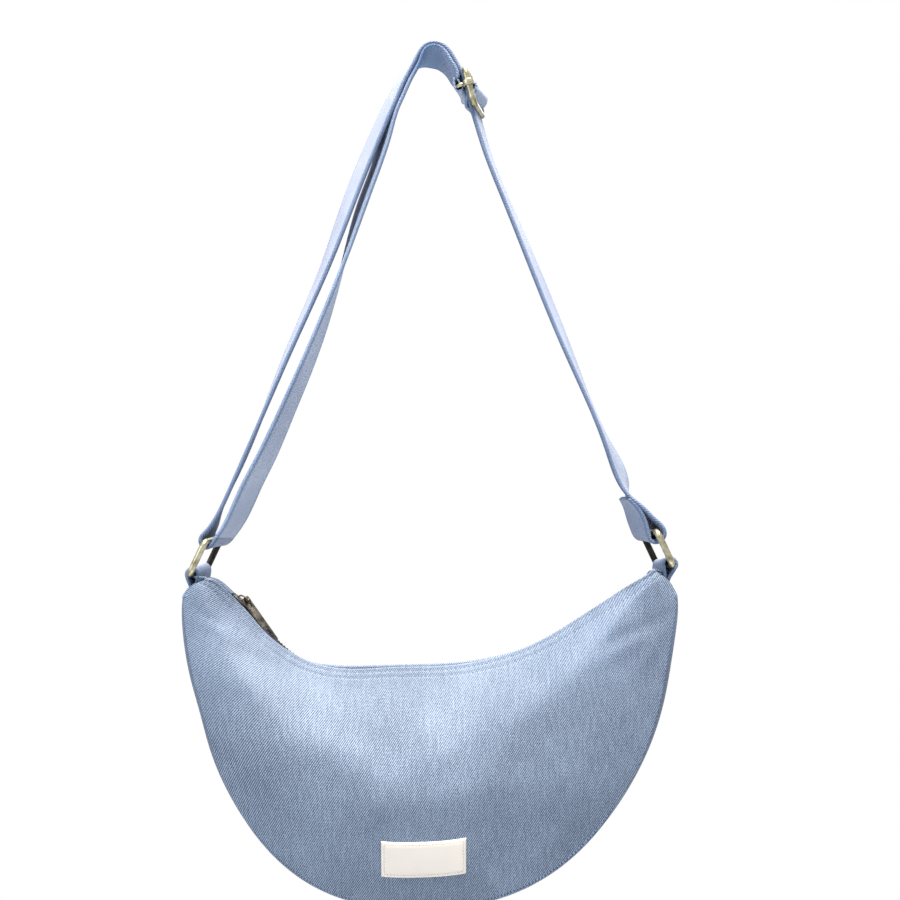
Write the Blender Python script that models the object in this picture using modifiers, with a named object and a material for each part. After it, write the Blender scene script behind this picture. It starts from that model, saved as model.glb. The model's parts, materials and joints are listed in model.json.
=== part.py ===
"""Crescent crossbody bag of light denim, hanging from its adjustable strap.

Lengths are in metres and angles in radians, with +Z up, +X to the right and +Y away from the viewer.
The origin is where the strap hangs: the underside of its inner ply at the top of the arch.
The bag hangs from two rectangular wire rings, and a curved zip between its panels closes the top.
Front pieces lie at -Y, and back pieces are the same shapes turned to +Y.
"""

import math

import bmesh
import bpy
import numpy as np
from mathutils import Matrix, Vector

# Fits and thicknesses that many pieces share
GAP = 0.0003                    # between pieces that touch
DENIM = 0.0012                  # one panel with its interfacing
LINING = 0.0005
TAPE = 0.0006
SEAM_GAP = 0.0005               # between a panel and what is sewn to it

# The strap
STRAP_WIDTH = 0.040
STRAP_THICKNESS = 0.0024        # denim folded in four and stitched
ARCH_RADIUS = 0.0175            # of the strap's underside where it hangs
PLY_BOW = 0.0055                # how far the inner ply hangs away from the outer one on the left
STUB_LENGTH = 0.010             # of the inner ply above the left ring that belongs to the long run
LOOP_LENGTH = 0.030             # of the sewn loop at the right ring
LOOP_TAPER = 0.020              # over which that loop opens round the ring's bar
LOOP_PLAY = 0.0020              # between the bar and the inside of that loop
SEWN_LENGTH = 0.013             # of the strap's end that is turned back at the buckle
SEWN_TAPER = 0.010

# The rectangular rings
RING_WIRE = 0.0045
RING_LENGTH = 0.0246            # from the axis of one bar to the other
RING_SPLAY = math.radians(25.3)
RING_CORNER = 0.0040
RING_SIDE_PLAY = 0.0010         # beside the strap, on each side
BAR_PLAY = 0.00035              # round a bar, inside the webbing

# The sliding buckle
BUCKLE_DROP = 0.0196            # along the strap from the end of the arch
BUCKLE_WIRE = 0.0045
BUCKLE_LENGTH = 0.0205          # between the axes of its end bars
BUCKLE_CORNER = 0.0050
BAR_WIRE = 0.0036
BAR_RISE = 0.0020               # of the centre bar above the middle of the frame
EYE_LENGTH = 0.0050             # of the centre bar's curled ends, along the side rods
EYE_WALL = 0.0016
BAR_CORNER = 0.0030

# The bag's curved zip
ZIP_RADIUS = 0.2015
ZIP_CENTRE_DROP = 0.2218        # below the hanging point
ZIP_END = math.radians(48.7)    # where the front's fold meets the end edge
ZIP_STOP = math.radians(42.95)  # where the teeth end
TAPE_END = math.radians(45.0)
TAPE_WIDTH = 0.0140
CHAIN_HALF_WIDTH = 0.0029
TOOTH_ROOT = 0.0017
SLOT_HALF_WIDTH = 0.0005        # between the two rows, for the slider's divider
ZIP_PITCH = 0.0036
CHAIN_THICKNESS = 0.0022
STOP_LENGTH = 0.0032

# The zip slider and its puller
SLIDER_REST = math.radians(40.3)
SLIDER_LENGTH = 0.0170
SLIDER_WIDTH = 0.0104
SLIDER_FOOT_WIDTH = 0.0088
SLIDER_PLATE = 0.0012
SLIDER_PLAY = 0.00055           # between the teeth and the plates
DIVIDER_THICKNESS = 0.0004
DIVIDER_LENGTH = 0.0035
CROWN_SPAN = 0.0096
CROWN_STRIP = 0.0010
CROWN_WIDTH = 0.0030
PULLER_RISE = 0.0027            # of the puller's crossbar above the slider
PULLER_LENGTH = 0.0320
PULLER_WIDTH = 0.0090
PULLER_THICKNESS = 0.0016
PULLER_WINDOW = 0.0065          # from the crossbar's axis to the window's far side
PULLER_WINDOW_WIDTH = 0.0048
PULLER_SLOT_LENGTH = 0.0070
PULLER_SLOT_WIDTH = 0.0036
PULLER_SLOT_MARGIN = 0.0022
PULLER_CORNER = 0.0014

# The bag's body
OUTLINE_CENTRE_DROP = 0.2887    # of the outline's centre below the hanging point
OUTLINE_HALF_WIDTH = 0.1720
OUTLINE_DEPTH = 0.2874
OUTLINE_POWER = 2.447           # 2 is an ellipse, and more is squarer
OUTLINE_END = math.radians(64.5)
FOLD_HALF_GAP = 0.0060          # from the middle of the zip to the fold of a panel
FOLD_LIFT = 0.0006              # of that fold above the tape
TIP_HALF_DEPTH = 0.0218
SEAM_HALF_DEPTH = 0.0350        # half the gusset's width at the bottom
PANEL_SWELL = 0.0240            # of the stuffed panel past its edges
SWELL_LIFT = 0.25               # over 0 brings the fullest part up
TIP_SPREAD = 0.20               # share of the half width over which the folds part at a tip
GUSSET_CROWN = 0.0030
LINING_REACH = 0.80             # share of the half width that the lining fills
LINING_START = 0.0120           # below the fold
PATCH_START = math.radians(44.6)

# The tabs that hold the rings
TAB_THICKNESS = 0.0022
TAB_LENGTH = 0.0116             # from the end edge to the ring's lower bar
TAB_LEAN = math.radians(14.0)
TAB_INSET = 0.0080              # sewn into the bag's end

# The woven label
LABEL_WIDTH = 0.0560
LABEL_HEIGHT = 0.0270
LABEL_THICKNESS = 0.0008
LABEL_CENTRE = -0.0035
LABEL_MARGIN = 0.0225           # from its lower edge to the outer seam

# How finely curved pieces are divided
PANEL_COLUMNS = 28
TIP_CROWDING = 0.2              # how much closer the columns stand at the tips
PANEL_FALLS = (0.0, 0.02, 0.05, 0.10, 0.18, 0.28, 0.40, 0.52, 0.64, 0.76, 0.88, 1.0)
LINING_ROWS = 7
BEND_STEPS = 10
WIRE_STEPS = 2

# Sizes that follow from the ones above
ZIP_CENTRE_Z = -ZIP_CENTRE_DROP
OUTLINE_CENTRE_Z = -OUTLINE_CENTRE_DROP
ARCH_CENTRE = np.array([0.0, -ARCH_RADIUS])
PLY_STEP = STRAP_THICKNESS + GAP
ARCH_OUTER = ARCH_RADIUS + STRAP_THICKNESS / 2 + PLY_STEP
BEND_RADIUS = RING_WIRE / 2 + BAR_PLAY + STRAP_THICKNESS / 2
LOOP_RADIUS = RING_WIRE / 2 + LOOP_PLAY + STRAP_THICKNESS / 2
TAB_BEND = RING_WIRE / 2 + BAR_PLAY + TAB_THICKNESS / 2
SEWN_BEND = BAR_WIRE / 2 + GAP + STRAP_THICKNESS / 2
RING_HALF_WIDTH = STRAP_WIDTH / 2 + RING_SIDE_PLAY + RING_WIRE / 2
FRAME_OFFSET = STRAP_THICKNESS / 2 + BAR_PLAY + BUCKLE_WIRE / 2
BAR_OFFSET = -(PLY_STEP + SEWN_BEND)
TAPE_INSET = DENIM + SEAM_GAP + TAPE / 2
LINING_INSET = DENIM + SEAM_GAP + TAPE + SEAM_GAP + LINING / 2
SLIDER_INNER = CHAIN_THICKNESS / 2 + SLIDER_PLAY
PULLER_AXIS = SLIDER_INNER + SLIDER_PLATE + PULLER_RISE

DENIM_BLUE = (0.33, 0.42, 0.60)
DENIM_STRAP = (0.28, 0.37, 0.56)
TAPE_NAVY = (0.035, 0.045, 0.10)
BRASS_COLOUR = (0.36, 0.33, 0.20)
DARK_BRASS = (0.16, 0.14, 0.10)
LINING_COLOUR = (0.62, 0.60, 0.55)
LABEL_COLOUR = (0.86, 0.85, 0.82)


def clear_scene():
    for thing in list(bpy.data.objects):
        bpy.data.objects.remove(thing)


def collection(name):
    group = bpy.data.collections.new(name)
    bpy.context.scene.collection.children.link(group)
    return group


def material(name, colour, roughness, metallic):
    """A plain principled finish."""
    finish = bpy.data.materials.new(name)
    finish.use_nodes = True
    shader = finish.node_tree.nodes["Principled BSDF"]
    shader.inputs["Base Color"].default_value = (*colour, 1.0)
    shader.inputs["Roughness"].default_value = roughness
    shader.inputs["Metallic"].default_value = metallic
    return finish


def axis_empty(name, x, z):
    """An empty on a joint's axis, which carries the pieces that move with it."""
    marker = bpy.data.objects.new(name, None)
    marker.empty_display_size = 0.01
    marker.location = (x, 0.0, z)
    PARTS.objects.link(marker)
    return marker


def place(name, data, finish, carrier=None):
    """Links an object whose data are in world coordinates, under its carrier."""
    thing = bpy.data.objects.new(name, data)
    data.materials.clear()
    data.materials.append(finish)
    PARTS.objects.link(thing)
    if carrier is not None:
        thing.parent = carrier
        thing.matrix_parent_inverse = Matrix.Translation(carrier.location).inverted()
    return thing


def smoothstep(value):
    share = np.clip(value, 0.0, 1.0)
    return share * share * (3.0 - 2.0 * share)


def grid(points):
    """A bmesh grid moved onto points, an array of rows, columns and x, y, z."""
    rows, columns = points.shape[:2]
    net = bmesh.new()
    bmesh.ops.create_grid(net, x_segments=columns - 1, y_segments=rows - 1, size=1.0)
    for vert, point in zip(net.verts, points.reshape(-1, 3)):
        vert.co = point
    return net


def sheet(name, points, thickness, finish, carrier=None):
    """A thin closed piece: a grid through its middle surface, with its thickness added."""
    net = grid(points)
    return solid_sheet(name, net, thickness, finish, carrier)


def solid_sheet(name, net, thickness, finish, carrier):
    mesh = bpy.data.meshes.new(name)
    net.to_mesh(mesh)
    net.free()
    thing = place(name, mesh, finish, carrier)
    wall = thing.modifiers.new("wall", "SOLIDIFY")
    wall.thickness = thickness
    wall.offset = 0.0
    wall.use_even_offset = True
    mesh.shade_smooth()
    return thing


def ribbon(name, path, half_width, thickness, finish, carrier=None):
    """Webbing along a path of x, z points, as wide as it is along Y."""
    path = np.asarray(path)
    points = np.zeros((len(path), 2, 3))
    points[:, :, 0] = path[:, None, 0]
    points[:, :, 2] = path[:, None, 1]
    points[:, 0, 1] = -half_width
    points[:, 1, 1] = half_width
    return sheet(name, points, thickness, finish, carrier)


def wire(name, points, gauge, finish, carrier=None, closed=True):
    """Round wire bent along points."""
    curve = bpy.data.curves.new(name, "CURVE")
    curve.dimensions = "3D"
    curve.bevel_depth = gauge / 2
    curve.bevel_resolution = WIRE_STEPS
    curve.use_fill_caps = not closed
    spline = curve.splines.new("POLY")
    spline.points.add(len(points) - 1)
    for knot, point in zip(spline.points, points):
        knot.co = (*point, 1.0)
    spline.use_cyclic_u = closed
    return place(name, curve, finish, carrier)


def rounded_corners(half_a, half_b, corner, steps=5):
    """Points round a rectangle of half sizes half_a and half_b with round corners."""
    turns = np.linspace(0.0, math.pi / 2, steps)
    loop = []
    for quarter, (side_a, side_b) in enumerate(((1, 1), (-1, 1), (-1, -1), (1, -1))):
        for turn in turns + quarter * math.pi / 2:
            a = side_a * (half_a - corner) + corner * math.cos(turn)
            b = side_b * (half_b - corner) + corner * math.sin(turn)
            loop.append((a, b))
    return loop


def wire_frame(centre, along, half_length, half_width, corner):
    """A rounded rectangle across Y and the direction along, both in x, z terms."""
    points = []
    for a, b in rounded_corners(half_length, half_width, corner):
        spot = centre + a * along
        points.append((spot[0], b, spot[1]))
    return points


def outline_mesh(name, loops, half_thickness):
    """A flat plate in local X and Y from an outer loop and its holes."""
    curve = bpy.data.curves.new(name, "CURVE")
    curve.dimensions = "2D"
    curve.fill_mode = "BOTH"
    curve.extrude = half_thickness
    for loop in loops:
        spline = curve.splines.new("POLY")
        spline.points.add(len(loop) - 1)
        for knot, (x, y) in zip(spline.points, loop):
            knot.co = (x, y, 0.0, 1.0)
        spline.use_cyclic_u = True
    guide = bpy.data.objects.new(name, curve)
    CUTTERS.objects.link(guide)
    view = bpy.context.evaluated_depsgraph_get()
    mesh = bpy.data.meshes.new_from_object(guide.evaluated_get(view))
    bpy.data.objects.remove(guide)
    net = bmesh.new()
    net.from_mesh(mesh)
    bmesh.ops.remove_doubles(net, verts=net.verts, dist=0.00001)
    bmesh.ops.recalc_face_normals(net, faces=net.faces)
    net.to_mesh(mesh)
    net.free()
    return mesh


def guide_object(name, mesh, matrix):
    """A body that a Boolean joins to a piece."""
    mesh.transform(matrix)
    thing = bpy.data.objects.new(name, mesh)
    thing.hide_render = True
    thing.display_type = "WIRE"
    CUTTERS.objects.link(thing)
    return thing


def join_with(thing, other):
    union = thing.modifiers.new("join " + other.name, "BOOLEAN")
    union.operation = "UNION"
    union.solver = "EXACT"
    union.object = other


def heading(angle):
    """Unit vector down and to the right, angle away from straight down, and its outer normal."""
    down = np.array([math.sin(angle), -math.cos(angle)])
    outer = np.array([math.cos(angle), math.sin(angle)])
    return down, outer


# The bag's surface is set out between the fold beside the zip and the outer seam.
# share runs from -1 at the left tip to 1 at the right one, and fall from 0 at the fold to 1.


def fold_line(share, lift=FOLD_LIFT):
    angle = ZIP_END * share
    radius = ZIP_RADIUS - lift
    return radius * np.sin(angle), ZIP_CENTRE_Z - radius * np.cos(angle)


def outline(share):
    """The outer seam: a superellipse in polar form."""
    angle = OUTLINE_END * share
    across = np.abs(np.sin(angle) / OUTLINE_HALF_WIDTH) ** OUTLINE_POWER
    down = np.abs(np.cos(angle) / OUTLINE_DEPTH) ** OUTLINE_POWER
    radius = (across + down) ** (-1.0 / OUTLINE_POWER)
    return radius * np.sin(angle), OUTLINE_CENTRE_Z - radius * np.cos(angle)


def fold_half_depth(share):
    """Half the gap between the folds: even along the zip, wider at the tips for the tabs."""
    spread = smoothstep((np.abs(share) - (1.0 - TIP_SPREAD)) / TIP_SPREAD)
    return FOLD_HALF_GAP + (TIP_HALF_DEPTH - FOLD_HALF_GAP) * spread


def seam_half_depth(share):
    return TIP_HALF_DEPTH + (SEAM_HALF_DEPTH - TIP_HALF_DEPTH) * (1.0 - share**2)


def front(share, fall):
    """The front panel's outer face, with its swell fading to the tips."""
    share, fall = np.broadcast_arrays(share, fall)
    top_x, top_z = fold_line(share)
    low_x, low_z = outline(share)
    fullness = np.sin(math.pi * fall * (1.0 + SWELL_LIFT * (1.0 - fall)))
    swell = PANEL_SWELL * (1.0 - share**2) ** 0.8 * fullness
    depth = fold_half_depth(share) * (1.0 - fall) + seam_half_depth(share) * fall + swell
    return np.stack(
        (top_x + (low_x - top_x) * fall, -depth, top_z + (low_z - top_z) * fall), axis=-1
    )


def front_inset(share, fall, inset):
    """Points the distance inset inside the front panel's outer face."""
    share, fall = np.broadcast_arrays(np.asarray(share, float), np.asarray(fall, float))
    step = 0.002
    left = np.clip(share - step, -1.0, 1.0)
    right = np.clip(share + step, -1.0, 1.0)
    above = np.clip(fall - step, 0.0, 1.0)
    below = np.clip(fall + step, 0.0, 1.0)
    sideways = front(right, fall) - front(left, fall)
    downwards = front(share, below) - front(share, above)
    inward = np.cross(sideways, downwards)
    inward /= np.linalg.norm(inward, axis=-1, keepdims=True)
    inward *= np.sign(inward[..., 1:2])
    return front(share, fall) + inset * inward


def panel_height(share):
    top_x, top_z = fold_line(share)
    low_x, low_z = outline(share)
    return np.hypot(low_x - top_x, low_z - top_z)


def turned(points, side):
    """Front points, or the same points turned to the back for a side of 1."""
    return points * np.array([1.0, -side, 1.0])


FRONT = -1
BACK = 1


def end_edge(side):
    """The bag's end: the fold's end, the outline's corner and their middle, as x, z points."""
    top = np.array(fold_line(side * 1.0))
    corner = np.array(outline(side * 1.0))
    return top, corner, (top + corner) / 2


def lower_bar(side):
    """Axis of a ring's lower bar, at the length of the tab from the middle of the end edge."""
    middle = end_edge(side)[2]
    return middle + TAB_LENGTH * np.array([side * math.sin(TAB_LEAN), math.cos(TAB_LEAN)])


def ring_down(side):
    return np.array([side * math.sin(RING_SPLAY), -math.cos(RING_SPLAY)])


def upper_bar(side):
    return lower_bar(side) - RING_LENGTH * ring_down(side)


def run_angle(side, offset):
    """Slope of a straight run that leaves the arch and passes offset outside the ring's bar."""
    bar = upper_bar(side)
    across = abs(bar[0] - ARCH_CENTRE[0])
    drop = ARCH_CENTRE[1] - bar[1]
    reach = math.hypot(across, drop)
    return math.atan2(across, drop) - math.asin((ARCH_OUTER - offset) / reach)


LOOP_OFFSET = PLY_STEP / 2
RIGHT_ANGLE = run_angle(1, LOOP_OFFSET)
LEFT_ANGLE = run_angle(-1, BEND_RADIUS)
RIGHT_DOWN, RIGHT_OUT = heading(RIGHT_ANGLE)
LEFT_DOWN = heading(LEFT_ANGLE)[0] * np.array([-1.0, 1.0])
LEFT_OUT = heading(LEFT_ANGLE)[1] * np.array([-1.0, 1.0])
RIGHT_START = ARCH_CENTRE + ARCH_OUTER * RIGHT_OUT
LEFT_START = ARCH_CENTRE + ARCH_OUTER * LEFT_OUT
BUCKLE_CENTRE = RIGHT_START + BUCKLE_DROP * RIGHT_DOWN


def arc(centre, radius, start, end, steps):
    turns = np.linspace(start, end, steps)
    return [centre + radius * np.array([math.cos(turn), math.sin(turn)]) for turn in turns]


def loop_round(bar, up, out, radius, narrow, taper, length):
    """A sewn loop round a bar: it opens from narrow to radius each side, and closes again."""
    climb = np.linspace(1.0, 0.0, BEND_STEPS // 2)
    widths = narrow + (radius - narrow) * smoothstep(1.0 - climb)
    down_side = [bar + taper * rise * up - width * out for rise, width in zip(climb, widths)]
    turns = np.linspace(0.0, math.pi, BEND_STEPS)[1:-1]
    under = [bar - radius * (math.cos(turn) * out + math.sin(turn) * up) for turn in turns]
    up_side = [bar + taper * rise * up + width * out for rise, width in zip(climb, widths)]
    tail = [bar + length * up - narrow * out]
    return tail + down_side + under + up_side[::-1]


def build_strap(denim):
    """The long run from the right ring's loop over the arch to the bend round the left ring."""
    path = loop_round(
        upper_bar(1), -RIGHT_DOWN, RIGHT_OUT, LOOP_RADIUS, LOOP_OFFSET, LOOP_TAPER, LOOP_LENGTH
    )
    left_start_turn = math.pi - LEFT_ANGLE
    path += arc(ARCH_CENTRE, ARCH_OUTER, RIGHT_ANGLE, left_start_turn, 2 * BEND_STEPS)
    bar = upper_bar(-1)
    turns = np.linspace(0.0, math.pi, BEND_STEPS)
    path += [
        bar + BEND_RADIUS * (math.cos(turn) * LEFT_OUT + math.sin(turn) * LEFT_DOWN)
        for turn in turns
    ]
    path.append(bar - BEND_RADIUS * LEFT_OUT - STUB_LENGTH * LEFT_DOWN)
    ribbon("strap_outer_run", path, STRAP_WIDTH / 2, STRAP_THICKNESS, denim)

    run = (bar + BEND_RADIUS * LEFT_OUT - LEFT_START) @ LEFT_DOWN
    first = STUB_LENGTH + GAP
    path = []
    for share in np.linspace(0.0, 1.0, 2 * BEND_STEPS):
        height = first + (run - first) * share
        settle = smoothstep(height / run)
        offset = -BEND_RADIUS + (2 * BEND_RADIUS - PLY_STEP) * settle
        offset -= PLY_BOW * math.sin(math.pi * share) ** 2
        path.append(bar - height * LEFT_DOWN + offset * LEFT_OUT)
    inner = ARCH_OUTER - PLY_STEP
    path += arc(ARCH_CENTRE, inner, left_start_turn, RIGHT_ANGLE, 2 * BEND_STEPS)[1:]
    sewn_start = BUCKLE_DROP - BAR_RISE - SEWN_LENGTH - GAP
    path.append(RIGHT_START - PLY_STEP * RIGHT_OUT + sewn_start * RIGHT_DOWN)
    ribbon("strap_inner_run", path, STRAP_WIDTH / 2, STRAP_THICKNESS, denim)


def build_sewn_end(denim, carrier):
    """The strap's end, turned back round the buckle's centre bar."""
    bar = BUCKLE_CENTRE - BAR_RISE * RIGHT_DOWN + BAR_OFFSET * RIGHT_OUT
    near = SEWN_BEND
    far = SEWN_BEND - PLY_STEP
    path = [bar - SEWN_LENGTH * RIGHT_DOWN + near * RIGHT_OUT]
    turns = np.linspace(0.0, math.pi, BEND_STEPS)
    path += [
        bar + SEWN_BEND * (math.cos(turn) * RIGHT_OUT + math.sin(turn) * RIGHT_DOWN)
        for turn in turns
    ]
    for share in np.linspace(0.0, 1.0, BEND_STEPS // 2)[1:]:
        offset = -SEWN_BEND + (SEWN_BEND + far) * smoothstep(share)
        path.append(bar - SEWN_TAPER * share * RIGHT_DOWN + offset * RIGHT_OUT)
    path.append(bar - SEWN_LENGTH * RIGHT_DOWN + far * RIGHT_OUT)
    ribbon("strap_sewn_end", path, STRAP_WIDTH / 2, STRAP_THICKNESS, denim, carrier)


def eye_mesh(name):
    """A curled end: a short tube whose bore clears a side rod, about its own Z axis."""
    bore = BUCKLE_WIRE / 2 + GAP
    profile = bmesh.new()
    corners = [
        profile.verts.new((radius, 0.0, height))
        for radius, height in (
            (bore + EYE_WALL, EYE_LENGTH / 2),
            (bore + EYE_WALL, -EYE_LENGTH / 2),
            (bore, -EYE_LENGTH / 2),
            (bore, EYE_LENGTH / 2),
        )
    ]
    for first, second in zip(corners, corners[1:] + corners[:1]):
        profile.edges.new((first, second))
    bmesh.ops.spin(
        profile,
        geom=profile.verts[:] + profile.edges[:],
        cent=(0, 0, 0),
        axis=(0, 0, 1),
        angle=2 * math.pi,
        steps=16,
        use_merge=True,
    )
    bmesh.ops.remove_doubles(profile, verts=profile.verts, dist=0.00001)
    bmesh.ops.recalc_face_normals(profile, faces=profile.faces)
    mesh = bpy.data.meshes.new(name)
    profile.to_mesh(mesh)
    profile.free()
    return mesh


def curve_to_mesh(thing):
    """Replaces a curve object by a mesh object of the same shape, with its caps joined."""
    view = bpy.context.evaluated_depsgraph_get()
    mesh = bpy.data.meshes.new_from_object(thing.evaluated_get(view))
    net = bmesh.new()
    net.from_mesh(mesh)
    bmesh.ops.remove_doubles(net, verts=net.verts, dist=0.00001)
    bmesh.ops.recalc_face_normals(net, faces=net.faces)
    net.to_mesh(mesh)
    net.free()
    name = thing.name
    finish = thing.data.materials[0]
    carrier = thing.parent
    bpy.data.objects.remove(thing)
    return place(name, mesh, finish, carrier)


def build_buckle(brass, bar_carrier, frame_carrier):
    """A wire frame, and a centre bar whose curled ends slide on the frame's side rods."""
    frame_centre = BUCKLE_CENTRE + FRAME_OFFSET * RIGHT_OUT
    frame = wire_frame(
        frame_centre, RIGHT_DOWN, BUCKLE_LENGTH / 2, RING_HALF_WIDTH, BUCKLE_CORNER
    )
    wire("buckle_frame", frame, BUCKLE_WIRE, brass, frame_carrier)

    spot = BUCKLE_CENTRE - BAR_RISE * RIGHT_DOWN
    start = FRAME_OFFSET - BUCKLE_WIRE / 2 - GAP - EYE_WALL / 2
    crank = rounded_corners(start - BAR_OFFSET, RING_HALF_WIDTH, BAR_CORNER)
    half = [(a, b) for a, b in crank if a < 0.0]
    half = [(start - BAR_OFFSET, RING_HALF_WIDTH)] + half
    half = [(0.0, RING_HALF_WIDTH)] + half[1:] + [(0.0, -RING_HALF_WIDTH)]
    points = []
    for a, b in half:
        place_xz = spot + (start + a) * RIGHT_OUT
        points.append((place_xz[0], b, place_xz[1]))
    bar = wire("buckle_bar", points, BAR_WIRE, brass, bar_carrier, closed=False)
    bar = curve_to_mesh(bar)
    rod = Vector((RIGHT_DOWN[0], 0.0, RIGHT_DOWN[1]))
    turn = rod.to_track_quat("Z", "Y").to_matrix().to_4x4()
    for side in (FRONT, BACK):
        eye_spot = spot + FRAME_OFFSET * RIGHT_OUT
        lift = Matrix.Translation((eye_spot[0], side * RING_HALF_WIDTH, eye_spot[1]))
        eye = guide_object("bar_eye", eye_mesh("bar_eye"), lift @ turn)
        join_with(bar, eye)


def build_ring(name, side, brass, carrier):
    centre = (upper_bar(side) + lower_bar(side)) / 2
    points = wire_frame(
        centre, ring_down(side), RING_LENGTH / 2, RING_HALF_WIDTH, RING_CORNER
    )
    wire(name, points, RING_WIRE, brass, carrier)


def build_tab(name, side, denim, carrier):
    """A folded tab round the ring's lower bar, with both plies sewn into the bag's end."""
    bar = lower_bar(side)
    middle = end_edge(side)[2]
    up = (bar - middle) / np.linalg.norm(bar - middle)
    out = np.array([up[1], -up[0]])
    narrow = (TAB_THICKNESS + GAP) / 2
    path = loop_round(bar, -up, out, TAB_BEND, narrow, TAB_LENGTH, TAB_LENGTH + TAB_INSET)
    path.append(bar - (TAB_LENGTH + TAB_INSET) * up + narrow * out)
    ribbon(name, path, STRAP_WIDTH / 2, TAB_THICKNESS, denim, carrier)


def panel_shares():
    """Places of the panel's columns, closer together where the folds part."""
    even = np.linspace(-1.0, 1.0, PANEL_COLUMNS + 1)
    return even * (1.0 + TIP_CROWDING * (1.0 - even**2))


def build_panel(name, side, denim, carrier):
    share = panel_shares()
    fall = np.array(PANEL_FALLS)
    points = front_inset(share[None, :], fall[:, None], DENIM / 2)
    sheet(name, turned(points, side), DENIM, denim, carrier)


def lining_shares():
    return np.linspace(-LINING_REACH, LINING_REACH, 2 * PANEL_COLUMNS // 3 + 1)


def lining_foot(share):
    """Where a lining wall stands on the gusset's lining."""
    return 1.0 - (LINING_INSET + LINING / 2 + SEAM_GAP) / panel_height(share)


def build_lining(name, side, cloth, carrier):
    """A lining wall inside a panel, from beside the tape down to the gusset's lining."""
    share = lining_shares()
    depth = np.linspace(0.0, 1.0, LINING_ROWS)
    first = LINING_START / panel_height(share)
    last = lining_foot(share)
    fall = first[None, :] + (last - first)[None, :] * depth[:, None]
    points = front_inset(share[None, :], fall, LINING_INSET)
    sheet(name, turned(points, side), LINING, cloth, carrier)


def outline_inward(share):
    """Unit normals of the outer seam that point into the bag."""
    step = 0.001
    ahead = np.array(outline(share + step))
    behind = np.array(outline(share - step))
    along = ahead - behind
    along /= np.linalg.norm(along, axis=0)
    return -along[1], along[0]


def crowned_band(path, inward, half_width, crown, columns=5):
    """A band across Y along a path, arched outward by crown in its middle."""
    across = np.linspace(-1.0, 1.0, columns)
    points = np.zeros((len(path), columns, 3))
    arch = crown[:, None] * (1.0 - across[None, :] ** 2)
    points[:, :, 0] = path[:, 0:1] - inward[:, 0:1] * arch
    points[:, :, 1] = half_width[:, None] * across[None, :]
    points[:, :, 2] = path[:, 1:2] - inward[:, 1:2] * arch
    return points


def build_gusset(denim, carrier):
    """The band between the panels, from under one tab round the bottom to the other."""
    share = panel_shares()
    inward = np.stack(outline_inward(share), axis=-1)
    path = np.stack(outline(share), axis=-1) + inward * DENIM / 2
    half_width = seam_half_depth(share) - DENIM - SEAM_GAP
    crown = GUSSET_CROWN * (1.0 - share**2)
    ends = []
    for side in (-1, 1):
        top, corner, middle = end_edge(side)
        edge = (corner - top) / np.linalg.norm(corner - top)
        clear = 2 * TAB_THICKNESS + GAP
        start = middle + edge * clear * 0.75
        square = np.array([-side * edge[1], side * edge[0]])
        square *= np.sign(square @ (np.array([0.0, OUTLINE_CENTRE_Z]) - middle)) or 1.0
        ends.append((start + square * DENIM / 2, square))
    path = np.vstack((ends[0][0], path, ends[1][0]))
    inward = np.vstack((ends[0][1], inward, ends[1][1]))
    half_width = np.concatenate((half_width[:1], half_width, half_width[-1:]))
    crown = np.concatenate(([0.0], crown, [0.0]))
    points = crowned_band(path, inward, half_width, crown)
    sheet("bottom_gusset", points, DENIM, denim, carrier)


def build_gusset_lining(cloth, carrier):
    share = lining_shares()
    inward = np.stack(outline_inward(share), axis=-1)
    path = np.stack(outline(share), axis=-1) + inward * LINING_INSET
    half_width = -front_inset(share, lining_foot(share), LINING_INSET)[:, 1]
    points = crowned_band(path, inward, half_width, np.zeros(len(share)), columns=3)
    sheet("lining_gusset", points, LINING, cloth, carrier)


def build_end_patch(name, side, denim, carrier):
    """A patch over the zip's end, from the top of the end edge down to the tab."""
    top, corner, middle = end_edge(side)
    edge = (corner - top) / np.linalg.norm(corner - top)
    height = TAPE / 2 + GAP + DENIM / 2
    shares = np.linspace(PATCH_START / ZIP_END, 1.0, 6)
    path = [np.array(fold_line(side * share, height)) for share in shares]
    clear = 2 * TAB_THICKNESS + GAP
    path.append(middle - edge * clear * 0.75)
    shares = np.append(shares, 1.0)
    half_width = fold_half_depth(shares) - DENIM - 2 * SEAM_GAP
    path = np.array(path)
    points = crowned_band(path, np.zeros_like(path), half_width, np.zeros(len(path)), columns=3)
    sheet(name, points, DENIM, denim, carrier)


def arc_points(angle, radius):
    return radius * np.sin(angle), ZIP_CENTRE_Z - radius * np.cos(angle)


def build_tape(name, side, cloth, carrier):
    """Woven tape: flat beside the teeth, then down inside the panel."""
    angle = np.linspace(-TAPE_END, TAPE_END, PANEL_COLUMNS + 9)
    share = angle / ZIP_END
    inset = TAPE_INSET
    bend = fold_half_depth(share) - inset
    near = CHAIN_HALF_WIDTH + GAP
    flat = bend - near
    columns = [np.stack((*arc_points(angle, ZIP_RADIUS), -np.full_like(angle, near)), axis=-1)]
    height = panel_height(share)
    for part in np.linspace(0.0, 1.0, 4):
        fall = (TAPE_WIDTH - flat) * part / height
        spot = front_inset(share, fall, inset)
        columns.append(spot[:, [0, 2, 1]])
    points = np.stack(columns, axis=1)[:, :, [0, 2, 1]]
    sheet(name, turned(points, side), TAPE, cloth, carrier)


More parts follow.
